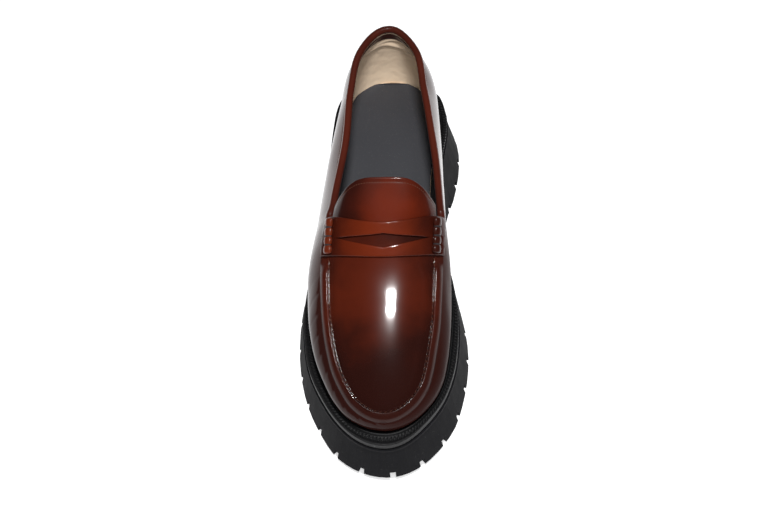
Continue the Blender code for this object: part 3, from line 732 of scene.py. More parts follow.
def tube(path: Array, across: Array, up: Array, wide: Array, high: Array, sides: int) -> Array:
    """The grid of an oval tube along a path.

    Args:
        path: Centres of its rings.
        across: The direction of each ring's width.
        up: The direction of each ring's height.
        wide: Half the width of each ring.
        high: Half the height of each ring.
        sides: How many points a ring has.

    Returns:
        Rows of points, one row for each ring.
    """
    angle = 2.0 * pi * np.arange(sides) / sides
    sideways = (np.asarray(wide)[:, None] * np.cos(angle))[..., None] * across[:, None, :]
    upwards = (np.asarray(high)[:, None] * np.sin(angle))[..., None] * up[:, None, :]
    return path[:, None, :] + sideways + upwards


@dataclass(frozen=True)
class Thread:
    """A sewing thread and how it is sewn, in metres."""

    length: float = 2.5 * MM
    gap: float = 1.1 * MM
    radius: float = 0.28 * MM
    sink: float = 0.08 * MM
    slant: float = 0.0
    rings: int = 7
    sides: int = 8

    @property
    def pitch(self) -> float:
        """The distance from one stitch to the next."""
        return self.length + self.gap

    def add(self, maker: MeshMaker, centres: Array, along: Array, up: Array) -> None:
        """Add a stitch at each centre: a short thread whose ends dip into the leather.

        Args:
            maker: What the stitches go into.
            centres: The middle of each stitch, on the leather.
            along: The direction of each stitch.
            up: The outward direction at each stitch.
        """
        share = np.sin(np.linspace(-pi / 2.0, pi / 2.0, self.rings))
        arch = np.sqrt(np.maximum(1.0 - share ** 2, 0.0))
        for centre, ahead, rise in zip(centres, along, up):
            ahead = ahead * cos(self.slant) + np.cross(rise, ahead) * sin(self.slant)
            across = np.cross(ahead, rise)
            height = self.radius * 2.0 * (arch - 0.5) - self.sink
            path = centre + np.outer(share * self.length / 2.0, ahead) + np.outer(height, rise)
            round_off = self.radius * (0.55 + 0.45 * arch)
            rows = len(path)
            maker.grid(tube(path, np.tile(across, (rows, 1)), np.tile(rise, (rows, 1)),
                            round_off, round_off, self.sides), around=True, ends=True)


class NodePen:
    """Adds nodes to a shader tree and links them."""

    def __init__(self, tree: bpy.types.NodeTree) -> None:
        """Keep the tree."""
        self.tree = tree

    def add(self, kind: str, **settings: object) -> bpy.types.Node:
        """A new node with some of its properties set.

        Args:
            kind: The node's type.
            **settings: Its properties by name.

        Returns:
            The node.
        """
        node = self.tree.nodes.new(kind)
        for name, value in settings.items():
            setattr(node, name, value)
        return node

    def put(self, value: object, socket: bpy.types.NodeSocket) -> None:
        """Link a socket to an input, or set the input's value.

        Args:
            value: A socket or a plain value.
            socket: The input.
        """
        if isinstance(value, bpy.types.NodeSocket):
            self.tree.links.new(value, socket)
        else:
            socket.default_value = value

    def math(self, operation: str, *values: object) -> bpy.types.NodeSocket:
        """The result of a math node.

        Args:
            operation: What the node works out.
            *values: Its inputs, sockets or numbers.

        Returns:
            The result's socket.
        """
        node = self.add("ShaderNodeMath", operation=operation)
        for value, socket in zip(values, node.inputs):
            self.put(value, socket)
        return node.outputs[0]

    def ramp(self, value: object, low: object, high: object) -> bpy.types.NodeSocket:
        """0 to 1 as a value goes smoothly from low to high.

        Args:
            value: What is read.
            low: Where the rise starts.
            high: Where it ends.

        Returns:
            The result's socket.
        """
        node = self.add("ShaderNodeMapRange", interpolation_type="SMOOTHSTEP")
        self.put(value, node.inputs["Value"])
        self.put(low, node.inputs["From Min"])
        self.put(high, node.inputs["From Max"])
        return node.outputs["Result"]

    def mix(self, share: object, first: object, second: object) -> bpy.types.NodeSocket:
        """A mix of two colours.

        Args:
            share: The second colour's share.
            first: The first colour.
            second: The second colour.

        Returns:
            The result's socket.
        """
        node = self.add("ShaderNodeMix", data_type="RGBA")
        self.put(share, node.inputs["Factor"])
        self.put(first, node.inputs["A"])
        self.put(second, node.inputs["B"])
        return node.outputs["Result"]

    def noise(self, scale: object, detail: float = 2.0) -> bpy.types.NodeSocket:
        """Noise in the shoe's own metres.

        Args:
            scale: The noise's scale.
            detail: Its detail.

        Returns:
            The result's socket.
        """
        place = self.add("ShaderNodeTexCoord").outputs["Object"]
        node = self.add("ShaderNodeTexNoise")
        self.put(place, node.inputs["Vector"])
        self.put(scale, node.inputs["Scale"])
        self.put(detail, node.inputs["Detail"])
        return node.outputs["Fac"]

    def share_away(self, place: object, radius: object) -> bpy.types.NodeSocket:
        """The distance from a place on the shoe, as a share of a radius.

        Args:
            place: The place.
            radius: The radius.

        Returns:
            The result's socket.
        """
        away = self.add("ShaderNodeVectorMath", operation="DISTANCE")
        self.put(self.add("ShaderNodeTexCoord").outputs["Object"], away.inputs[0])
        self.put(place, away.inputs[1])
        return self.math("DIVIDE", away.outputs["Value"], radius)


def socket_kind(default: object) -> str:
    """The type of an input socket, from its default value.

    Args:
        default: The default value.

    Returns:
        The socket's type.
    """
    if isinstance(default, float):
        return "NodeSocketFloat"
    return "NodeSocketVector" if len(default) == 3 else "NodeSocketColor"


def new_group(name: str, inputs: dict[str, object], outputs: dict[str, str]) -> bpy.types.NodeTree:
    """An empty shader group with named sockets.

    Args:
        name: The group's name.
        inputs: The default of each input: a number, a place of three or a colour of four numbers.
        outputs: The socket type of each output.

    Returns:
        The group.
    """
    group = bpy.data.node_groups.new(name, "ShaderNodeTree")
    for label, default in inputs.items():
        socket = group.interface.new_socket(label, in_out="INPUT", socket_type=socket_kind(default))
        socket.default_value = default
    for label, kind in outputs.items():
        group.interface.new_socket(label, in_out="OUTPUT", socket_type=kind)
    return group


def grain_group() -> bpy.types.NodeTree:
    """Grain: fine pores over soft unevenness, as a height in metres.

    Returns:
        The group.
    """
    group = new_group(
        "grain",
        {"Pore Scale": 1200.0, "Pore Depth": 0.00001, "Wave Scale": 70.0, "Wave Depth": 0.0001},
        {"Height": "NodeSocketFloat"},
    )
    pen = NodePen(group)
    start = pen.add("NodeGroupInput")
    end = pen.add("NodeGroupOutput")
    pores = pen.noise(start.outputs["Pore Scale"], 3.0)
    waves = pen.noise(start.outputs["Wave Scale"], 1.0)
    fine = pen.math("MULTIPLY", pores, start.outputs["Pore Depth"])
    pen.put(pen.math("MULTIPLY_ADD", waves, start.outputs["Wave Depth"], fine), end.inputs["Height"])
    return group


def tone_group() -> bpy.types.NodeTree:
    """Tone: a dark colour over a lighter one, lighter near a place and mottled: a brushed finish, and on the
    tongue, the rolls and the lining also painted light and shade.

    Returns:
        The group.
    """
    group = new_group(
        "brushed_and_lit_tone",
        {
            "Light": (0.2, 0.04, 0.01, 1.0),
            "Dark": (0.02, 0.006, 0.004, 1.0),
            "Clear And Lit Place": (0.0, 0.0, 0.0),
            "Clear And Lit Radius": 0.05,
            "Mottle": 0.3,
            "Mottle Scale": 40.0,
        },
        {"Color": "NodeSocketColor", "Finish": "NodeSocketFloat"},
    )
    pen = NodePen(group)
    start = pen.add("NodeGroupInput")
    end = pen.add("NodeGroupOutput")
    share = pen.share_away(start.outputs["Clear And Lit Place"], start.outputs["Clear And Lit Radius"])
    mottle = pen.math("SUBTRACT", pen.noise(start.outputs["Mottle Scale"], 3.0), 0.5)
    share = pen.math("MULTIPLY_ADD", mottle, start.outputs["Mottle"], share)
    # How much of the dark colour shows: the brushed finish, and painted shade where the tone holds it.
    finish = pen.ramp(share, 0.15, 1.0)
    pen.put(finish, end.inputs["Finish"])
    pen.put(pen.mix(finish, start.outputs["Light"], start.outputs["Dark"]), end.inputs["Color"])
    return group


def wear_group() -> bpy.types.NodeTree:
    """Wear: a roughness with faint hazy patches and a light dust.

    Returns:
        The group.
    """
    group = new_group(
        "wear",
        {"Roughness": 0.2, "Haze": 0.05, "Haze Scale": 90.0, "Dust": 0.02, "Dust Scale": 900.0},
        {"Roughness": "NodeSocketFloat", "Dust": "NodeSocketFloat"},
    )
    pen = NodePen(group)
    start = pen.add("NodeGroupInput")
    end = pen.add("NodeGroupOutput")
    haze = pen.math("MULTIPLY", pen.noise(start.outputs["Haze Scale"]), start.outputs["Haze"])
    pen.put(pen.math("ADD", haze, start.outputs["Roughness"]), end.inputs["Roughness"])
    specks = pen.ramp(pen.noise(start.outputs["Dust Scale"], 1.0), 0.66, 0.78)
    pen.put(pen.math("MULTIPLY", specks, start.outputs["Dust"]), end.inputs["Dust"])
    return group


def polish_and_reflection_shade_group() -> bpy.types.NodeTree:
    """Polish: a coat weight that is cut near a place, as a painted shade on the coat's reflection there.

    Returns:
        The group.
    """
    group = new_group(
        "polish_and_reflection_shade",
        {"Coat": 0.5, "Reflection Shade Place": (0.0, 0.0, 0.0), "Reflection Shade Radius": 0.05, "Reflection Shade Share": 0.0},
        {"Coat": "NodeSocketFloat"},
    )
    pen = NodePen(group)
    start = pen.add("NodeGroupInput")
    end = pen.add("NodeGroupOutput")
    away = pen.share_away(start.outputs["Reflection Shade Place"], start.outputs["Reflection Shade Radius"])
    close = pen.math("SUBTRACT", 1.0, pen.ramp(away, 0.4, 1.0))
    coat_cut_for_shade = pen.math("MULTIPLY", close, start.outputs["Reflection Shade Share"])
    kept = pen.math("SUBTRACT", 1.0, coat_cut_for_shade)
    pen.put(pen.math("MULTIPLY", kept, start.outputs["Coat"]), end.inputs["Coat"])
    return group


@dataclass(frozen=True)
class Finish:
    """One finish of the shoe: its colours, gloss, grain and wear, and on some finishes painted light and
    shade in its tone and coat.
    """

    name: str
    light: Color
    dark: Color
    clear_and_lit_place: Point = (0.0, 0.0, 0.0)
    clear_and_lit_radius: float = 0.1
    mottle: float = 0.3
    mottle_scale: float = 40.0
    roughness: float = 0.2
    haze: float = 0.05
    coat: float = 0.0
    reflection_shade_place: Point = (0.0, 0.0, 0.0)
    reflection_shade_radius: float = 0.05
    reflection_shade_share: float = 0.0
    coat_roughness: float = 0.05
    pore_scale: float = 1200.0
    pore_depth: float = 0.00001
    wave_scale: float = 70.0
    wave_depth: float = 0.00005
    dust: float = 0.0
    dust_scale: float = 900.0
    sheen: float = 0.0
    specular: float = 0.5

    def material(self, groups: dict[str, bpy.types.NodeTree]) -> bpy.types.Material:
        """The material of this finish.

        Args:
            groups: The shader groups by name.

        Returns:
            The material.
        """
        material = bpy.data.materials.new(self.name)
        material.use_nodes = True
        pen = NodePen(material.node_tree)
        shader = material.node_tree.nodes["Principled BSDF"]
        tone = self.placed(pen, groups["tone"], {
            "Light": (*self.light, 1.0),
            "Dark": (*self.dark, 1.0),
            "Clear And Lit Place": self.clear_and_lit_place,
            "Clear And Lit Radius": self.clear_and_lit_radius,
            "Mottle": self.mottle,
            "Mottle Scale": self.mottle_scale,
        })
        wear = self.placed(pen, groups["wear"], {
            "Roughness": self.roughness,
            "Haze": self.haze,
            "Dust": self.dust,
            "Dust Scale": self.dust_scale,
        })
        grain = self.placed(pen, groups["grain"], {
            "Pore Scale": self.pore_scale,
            "Pore Depth": self.pore_depth,
            "Wave Scale": self.wave_scale,
            "Wave Depth": self.wave_depth,
        })
        color = pen.mix(wear.outputs["Dust"], tone.outputs["Color"], (0.5, 0.48, 0.45, 1.0))
        pen.put(color, shader.inputs["Base Color"])
        pen.put(wear.outputs["Roughness"], shader.inputs["Roughness"])
        relief = pen.add("ShaderNodeBump")
        relief.inputs["Distance"].default_value = 1.0
        pen.put(grain.outputs["Height"], relief.inputs["Height"])
        pen.put(relief.outputs["Normal"], shader.inputs["Normal"])
        polish_and_reflection_shade = self.placed(pen, groups["polish_and_reflection_shade"], {
            "Coat": self.coat,
            "Reflection Shade Place": self.reflection_shade_place,
            "Reflection Shade Radius": self.reflection_shade_radius,
            "Reflection Shade Share": self.reflection_shade_share,
        })
        pen.put(polish_and_reflection_shade.outputs["Coat"], shader.inputs["Coat Weight"])
        shader.inputs["Coat Roughness"].default_value = self.coat_roughness
        shader.inputs["Sheen Weight"].default_value = self.sheen
        shader.inputs["Specular IOR Level"].default_value = self.specular
        return material

    @staticmethod
    def placed(
        pen: NodePen, group: bpy.types.NodeTree, values: dict[str, object]
    ) -> bpy.types.Node:
        """A group node with its values set.

        Args:
            pen: The material's pen.
            group: The group.
            values: A value for each of its inputs.

        Returns:
            The group's node.
        """
        node = pen.add("ShaderNodeGroup", node_tree=group)
        for label, value in values.items():
            pen.put(value, node.inputs[label])
        return node


ESPRESSO = (0.0230, 0.0052, 0.0036)

FINISHES = (
    # The wall's coat is cut round the medial front and the toe: a painted shade on the wall's reflection
    # there.
    Finish("wall_leather", (0.055, 0.0125, 0.0075), (0.026, 0.0065, 0.0048), (0.0, 0.05, 0.09), 0.17,
           roughness=0.35, specular=0.03, coat=1.0, coat_roughness=0.05,
           reflection_shade_place=(0.050, -0.082, 0.055), reflection_shade_radius=0.128, reflection_shade_share=0.99),
    Finish("apron_leather", (0.092, 0.0125, 0.0045), ESPRESSO, (-0.003, -0.062, 0.093), 0.055,
           mottle=0.75, mottle_scale=50.0, roughness=0.22, specular=0.09, coat=0.75, coat_roughness=0.085),
    Finish("seam_leather", (0.078, 0.0120, 0.0055), (0.030, 0.0072, 0.0050), (-0.003, -0.062, 0.093), 0.075,
           mottle=0.5, mottle_scale=50.0, roughness=0.40, specular=0.05, coat=0.28, coat_roughness=0.12),
    # The tongue's tone is lightest right of its middle: a painted sheen there, over the brushed finish's
    # darker edges.
    Finish("tongue_leather", (0.138, 0.0160, 0.0045), (0.028, 0.0055, 0.0036), (0.011, -0.018, 0.113), 0.035,
           mottle=0.60, mottle_scale=50.0, roughness=0.38, specular=0.04, coat=0.6, coat_roughness=0.11),
    Finish("strap_leather", (0.150, 0.0190, 0.0046), (0.040, 0.0065, 0.0034), (0.002, -0.034, 0.104), 0.038,
           mottle=0.55, mottle_scale=60.0, roughness=0.38, specular=0.04, coat=0.6, coat_roughness=0.10),
    # The rolls' tone is light at the lateral roll and dark at the medial one: painted light on the lateral
    # roll and painted shade on the medial roll.
    Finish("roll_leather", (0.130, 0.019, 0.0062), (0.036, 0.0070, 0.0042), (-0.02, -0.03, 0.10), 0.055,
           roughness=0.35, specular=0.05, coat=0.9, coat_roughness=0.07),
    Finish("binding_leather", (0.092, 0.0160, 0.0085), (0.034, 0.0075, 0.0050), (0.0, 0.06, 0.09), 0.13,
           mottle=0.6, roughness=0.35, specular=0.08, coat=0.7, coat_roughness=0.09, pore_depth=0.00002),
    Finish("side_leather", (0.030, 0.029, 0.031), (0.022, 0.021, 0.023), (0.0, 0.06, 0.09), 0.16,
           roughness=0.60, specular=0.3, pore_depth=0.00004),
    Finish("facing_leather", (0.050, 0.011, 0.0075), (0.022, 0.0065, 0.0055), (0.0, 0.06, 0.09), 0.16,
           roughness=0.40, specular=0.2, coat=0.2, coat_roughness=0.2, pore_depth=0.00003),
    # The lining's colours hold painted light: brightened to make up for light inside the heel, lightest low
    # at the back, and darker up under the collar as painted shade.
    Finish("lining_suede", (0.94, 0.75, 0.55), (0.80, 0.60, 0.43), (0.004, 0.125, 0.060), 0.070,
           roughness=0.85, specular=0.2, pore_scale=1500.0, pore_depth=0.00012, wave_scale=160.0,
           wave_depth=0.0006, mottle=0.6, mottle_scale=110.0, sheen=0.2),
    Finish("sock_leather", (0.046, 0.047, 0.054), (0.032, 0.0325, 0.038), (0.0, 0.06, 0.05), 0.12,
           roughness=0.60, specular=0.4, pore_scale=1100.0, pore_depth=0.00006, dust=0.12, dust_scale=1700.0,
           mottle=0.5),
    Finish("sole_rubber", (0.0095, 0.0095, 0.0110), (0.0060, 0.0060, 0.0070), (0.0, -0.15, 0.0), 0.2,
           roughness=0.62, haze=0.15, specular=0.07, pore_scale=700.0, pore_depth=0.00005, dust=0.03),
    Finish("welt_rubber", (0.0060, 0.0060, 0.0066), (0.0040, 0.0040, 0.0045), (0.0, -0.15, 0.0), 0.2,
           roughness=0.42, haze=0.2, specular=0.28, pore_scale=1100.0, pore_depth=0.00022),
    Finish("brown_thread", (0.125, 0.052, 0.034), (0.070, 0.028, 0.020), (0.0, 0.0, 0.09), 0.15,
           roughness=0.95, specular=0.03, pore_scale=3000.0, pore_depth=0.00005),
    Finish("dark_thread", (0.045, 0.040, 0.042), (0.022, 0.019, 0.020), (0.0, 0.0, 0.09), 0.15,
           roughness=0.80, specular=0.1, pore_scale=3000.0, pore_depth=0.00005),
)


class Workshop:
    """Makes the materials once, and finishes, places and reports each piece."""

    def __init__(self) -> None:
        """Build the shader groups and the material of every finish."""
        groups = {
            "grain": grain_group(),
            "tone": tone_group(),
            "wear": wear_group(),
            "polish_and_reflection_shade": polish_and_reflection_shade_group(),
        }
        self.materials = {finish.name: finish.material(groups) for finish in FINISHES}

    def finish(
        self, piece: bpy.types.Object, finish: str, slot: str, stands_for: tuple[str, ...] = ()
    ) -> bpy.types.Object:
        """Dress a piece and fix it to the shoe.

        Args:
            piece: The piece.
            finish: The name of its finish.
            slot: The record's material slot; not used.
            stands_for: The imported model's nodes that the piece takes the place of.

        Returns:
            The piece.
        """
        piece.data.materials.clear()
        piece.data.materials.append(self.materials[finish])
        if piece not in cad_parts.values():
            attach(piece, "root")
        if stands_for:
            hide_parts(*stands_for)
        LOG.info("%s: %d faces, %s", piece.name, len(piece.data.polygons), finish)
        return piece


@dataclass(frozen=True)
class Saddle:
    """The strap across the instep, with its rolls, and the tongue's place under it, in metres."""

    last: Last
    strap_back: float = 0.1626
    strap_back_bow: float = 0.0130
    strap_front_bow: float = 0.0077
    strap_thick: float = 0.0020
    strap_width: float = 0.0240
    strap_span: float = 0.0720
    band_width: float = 0.0100
    strap_reach: float = 0.998
    slot_length: float = 0.0555
    slot_width: float = 0.0075
    slot_place: float = 0.52
    edge_round: float = 0.0007
    roll_width: float = 0.0062
    roll_height: float = 0.0040
    roll_waist: float = 0.66
    roll_lumps: int = 4
    lump_height: float = 0.0007
    rope: float = 0.00032
    rope_gap: float = 0.00012
    rope_spread: float = 0.016
    roll_margin: float = 0.0008
    roll_lateral: float = 0.82
    roll_medial: float = 0.82
    tongue_end: float = 0.1516
    tongue_edge_bow: float = 0.0080
    tongue_front: float = 0.1960
    tongue_thick: float = 0.0022
    tongue_round: float = 0.0009
    tongue_run: float = 0.0460
    tongue_span: float = 0.0660
    tongue_reach: float = 0.91
    tongue_clearance: float = 0.0005
    stitch_inset: float = 0.0029
    stitch_sink: float = 0.0002
    channel_width: float = 0.0008
    channel_depth: float = 0.00022

    def strap_edges(self, reach: Array) -> tuple[Array, Array]:
        """The rear and front stations of the strap."""
        bow = 1.0 - reach * reach
        return self.strap_back + self.strap_back_bow * bow, self.last.strap_front + self.strap_front_bow * bow

    @cached_property
    def slot_reach(self) -> float:
        """Half the slot's length, as a reach across the instep."""
        turn = self.last.top.turn(np.array(sum(self.strap_edges(0.0)) / 2.0))
        return self.slot_length / 2.0 / float(self.last.top.half(turn, np.array(Side.MEDIAL)))

    def slot_half(self, reach: Array) -> Array:
        """Half the slot's opening, as a share of the strap's width.

        Args:
            reach: Reaches across the instep.

        Returns:
            The half openings.
        """
        rear, front = self.strap_edges(0.0)
        closeness = np.clip(1.0 - np.abs(reach) / self.slot_reach, 0.0, 1.0)
        return self.slot_width / 2.0 / (front - rear) * closeness

    def strap_place(self, reach: Array, share: Array, lift: Array) -> Array:
        """Points over the strap's area, at a share of its width from rear to front."""
        rear, front = self.strap_edges(reach)
        return self.last.over_instep(reach, rear + (front - rear) * share, lift)

    def strap_band(self, maker: MeshMaker, reach: Array, rear: bool) -> None:
        """Add the strap's half behind or in front of its slot.

        Args:
            maker: What the half goes into.
            reach: Reaches across the instep.
            rear: Whether it is the rear half.
        """
        half = self.slot_half(reach)
        widths = with_edges(10, self.edge_round, self.band_width)
        if rear:
            shares = widths[:, None] * (self.slot_place - half)[None, :]
        else:
            shares = 1.0 - widths[:, None] * (1.0 - self.slot_place - half)[None, :]
        across = np.broadcast_to(reach, shares.shape)
        outer, left = grid_distances(self.strap_place(across, shares, np.zeros(shares.shape)))
        opened = np.clip(half * self.strap_width / self.edge_round, 0.0, 1.0)[None, :]
        slot_side = outer[-1] - outer + (1.0 - opened) * self.edge_round
        near = np.minimum(np.minimum(outer, slot_side), np.minimum(left, left[:, -1:] - left))
        drop = rounding(near, self.edge_round)
        lumps = self.end_lumps(across, shares)
        top = self.strap_place(across, shares, self.last.gap + self.strap_thick - drop + lumps)
        bottom = self.strap_place(across, shares, self.last.gap + 0.2 * drop)
        maker.grid(top)
        maker.grid(bottom)
        for end in (0, -1):
            maker.grid(np.stack([top[:, end], bottom[:, end]]))
        maker.grid(np.stack([top[0], bottom[0]]))
        open_columns = np.flatnonzero(half > 0.0)
        run = slice(open_columns[0] - 1, open_columns[-1] + 2)
        maker.grid(np.stack([top[-1, run], bottom[-1, run]]))

    def end_lumps(self, reach: Array, share: Array) -> Array:
        """How far the strap's ends swell between the stitches of the rolls.

        Args:
            reach: Reaches across the instep.
            share: Shares of the strap's width.

        Returns:
            The heights of the swelling.
        """
        place = np.where(reach > 0.0, self.roll_medial, self.roll_lateral)
        outside = smooth_step(0.0, 0.07, np.abs(reach) - place)
        inside = 1.0 - smooth_step(0.94, 1.0, np.abs(reach))
        swell = np.abs(np.sin(pi * self.roll_lumps * share)) ** 0.6
        return self.lump_height * outside * inside * swell

    def strap(self) -> bpy.types.Object:
        """The saddle strap with its diamond slot.

        Returns:
            The strap.
        """
        reach = with_edges(90, self.edge_round, self.strap_span) * 2.0 - 1.0
        reach = np.sort(np.concatenate([reach, [-self.slot_reach, self.slot_reach]])) * self.strap_reach
        maker = MeshMaker()
        self.strap_band(maker, reach, True)
        self.strap_band(maker, reach, False)
        return maker.build("saddle_strap")

    def roll_path(self, place: float, share: Array) -> tuple[Array, Array]:
        """Points along a roll's middle and the outward directions there.

        Args:
            place: The roll's reach across the instep.
            share: Shares of its length.

        Returns:
            The points and the directions.
        """
        rear, front = self.strap_edges(np.array(place))
        station = rear + self.roll_margin + (front - rear - 2.0 * self.roll_margin) * share
        reach = np.full_like(station, place)
        low = self.last.over_instep(reach, station, np.zeros_like(station))
        high = self.last.over_instep(reach, station, np.full_like(station, MM))
        normal = (high - low) / MM
        lift = 2.0 * self.last.gap + self.strap_thick + self.roll_height / 2.0
        return low + normal * lift, normal

    def roll(self, name: str, place: float) -> bpy.types.Object:
        """A beef roll: leather drawn into lumps by the thread that sews the strap down.

        Args:
            name: The piece's name.
            place: Its reach across the instep.

        Returns:
            The roll.
        """
        share = np.linspace(0.0, 1.0, 16 * self.roll_lumps + 1)
        path, up = self.roll_path(place, share)
        _, across = frames_of(path, up)
        lumps = np.abs(np.sin(pi * self.roll_lumps * share)) ** 0.5
        swell = self.roll_waist + (1.0 - self.roll_waist) * lumps
        cap = np.sqrt(np.clip(1.0 - ((np.abs(share - 0.5) - 0.47) / 0.03).clip(0.0, 1.0) ** 2, 0.05, 1.0))
        maker = MeshMaker()
        maker.grid(tube(path, across, up, swell * cap * self.roll_width / 2.0,
                        swell * cap * self.roll_height / 2.0, 24), around=True, ends=True)
        return maker.build(name)

    def roll_threads(self) -> bpy.types.Object:
        """The threads drawn round both rolls, two turns in each waist.

        Returns:
            The threads.
        """
        maker = MeshMaker()
        sides = 20
        angle = 2.0 * pi * np.arange(sides) / sides
        for place in (-self.roll_lateral, self.roll_medial):
            waists = np.arange(1, self.roll_lumps) / self.roll_lumps
            shares = np.concatenate([waists - self.rope_spread, waists + self.rope_spread])
            path, up = self.roll_path(place, shares)
            ahead, _ = self.roll_path(place, shares + 0.01)
            for centre, rise, after in zip(path, up, ahead):
                along = (after - centre) / np.linalg.norm(after - centre)
                across = np.cross(along, rise)
                wide = self.roll_waist * self.roll_width / 2.0 + self.rope_gap
                high = self.roll_waist * self.roll_height / 2.0 + self.rope_gap
                ring = centre + np.outer(wide * np.cos(angle), across) + np.outer(high * np.sin(angle), rise)
                out = np.outer(np.cos(angle), across) + np.outer(np.sin(angle), rise)
                turns = 2.0 * pi * np.arange(8) / 8
                grid = ring[:, None, :] + self.rope * (
                    np.cos(turns)[None, :, None] * out[:, None, :]
                    + np.sin(turns)[None, :, None] * along[None, None, :]
                )
                maker.grid(np.concatenate([grid, grid[:1]]), around=True)
        return maker.build("roll_threads")

    def tongue_place(self, reach: Array, row: Array, lift: Array) -> Array:
        """Points over the tongue's area, from its free edge at 0 to its sewn end at 1.

        Args:
            reach: Reaches across the instep.
            row: Shares of the way from edge to end.
            lift: Heights over the tongue's outer face.

        Returns:
            The points.
        """
        back = self.tongue_end + self.tongue_edge_bow * np.abs(reach) ** 4
        station = back + (self.tongue_front - back) * row
        bow = 1.0 - reach * reach
        strap = self.strap_back + self.strap_back_bow * bow
        throat = self.last.throat_side + self.last.throat_bow * bow
        under = smooth_step(0.0, 1.0, (station - strap) / (throat - strap))
        sunk = self.tongue_clearance + self.last.upper_wall * under
        return self.last.over_instep(reach, station, lift - sunk)

    def tongue(self) -> bpy.types.Object:
        """The tongue, with a rounded cut edge.

        Returns:
            The tongue.
        """
        rows = with_edges(60, self.tongue_round, self.tongue_run)
        reach = (with_edges(70, self.tongue_round, self.tongue_span) * 2.0 - 1.0) * self.tongue_reach
        across, along = np.meshgrid(reach, rows)
        back, left = grid_distances(self.tongue_place(across, along, np.zeros(across.shape)))
        sides = np.minimum(left, left[:, -1:] - left)
        drop = rounding(np.minimum(np.minimum(back, back[-1] - back), sides), self.tongue_round)
        channel = -self.channel_depth * bump(self.stitch_inset, self.channel_width, np.minimum(back, sides))
        maker = MeshMaker()
        maker.slab(self.tongue_place(across, along, channel - drop),
                   self.tongue_place(across, along, -self.tongue_thick + drop))
        return maker.build("tongue_flap")

    def tongue_stitches(self) -> bpy.types.Object:
        """The row of stitches inside the tongue's free edge.

        Returns:
            The stitches.
        """
        thread = Thread(length=1.35 * MM, gap=0.35 * MM, radius=0.22 * MM)
        reach = np.linspace(-0.86, 0.86, 200)
        inside = self.stitch_inset / (self.tongue_front - self.tongue_end)
        row = inside + 0.25 * np.clip((np.abs(reach) - 0.80) / 0.06, 0.0, 1.0) ** 2
        points = self.tongue_place(reach, row, np.full_like(reach, -self.stitch_sink))
        at = evenly(points, reach, thread.pitch)
        row_at = np.interp(at, reach, row)
        centres = self.tongue_place(at, row_at, np.full_like(at, -self.stitch_sink))
        high = self.tongue_place(at, row_at, np.full_like(at, MM - self.stitch_sink))
        up = (high - centres) / MM
        along, _ = frames_of(centres, up)
        maker = MeshMaker()
        thread.add(maker, centres, along, up)
        return maker.build("tongue_stitches")

    def make(self, shop: Workshop) -> None:
        """Build and dress the saddle's pieces.

        Args:
            shop: What finishes the pieces.
        """
        shop.finish(self.strap(), "strap_leather", "upper_leather", ("strap",))
        shop.finish(self.tongue(), "tongue_leather", "upper_leather", ("tongue",))
        shop.finish(self.tongue_stitches(), "brown_thread", "upper_leather")
        lateral = self.roll("roll_lateral", -self.roll_lateral)
        medial = self.roll("roll_medial", self.roll_medial)
        shop.finish(lateral, "roll_leather", "upper_leather", ("beef_roll_lateral",))
        shop.finish(medial, "roll_leather", "upper_leather", ("beef_roll_medial",))
        shop.finish(self.roll_threads(), "dark_thread", "upper_leather")


SEAM_SECTION = Curve(
    [0.00, 0.03, 0.08, 0.16, 0.28, 0.45, 0.62, 0.78, 0.88, 0.95, 1.00],
    [0.00, 0.30, 0.58, 0.78, 0.93, 1.00, 0.98, 0.84, 0.52, 0.16, 0.00],
)


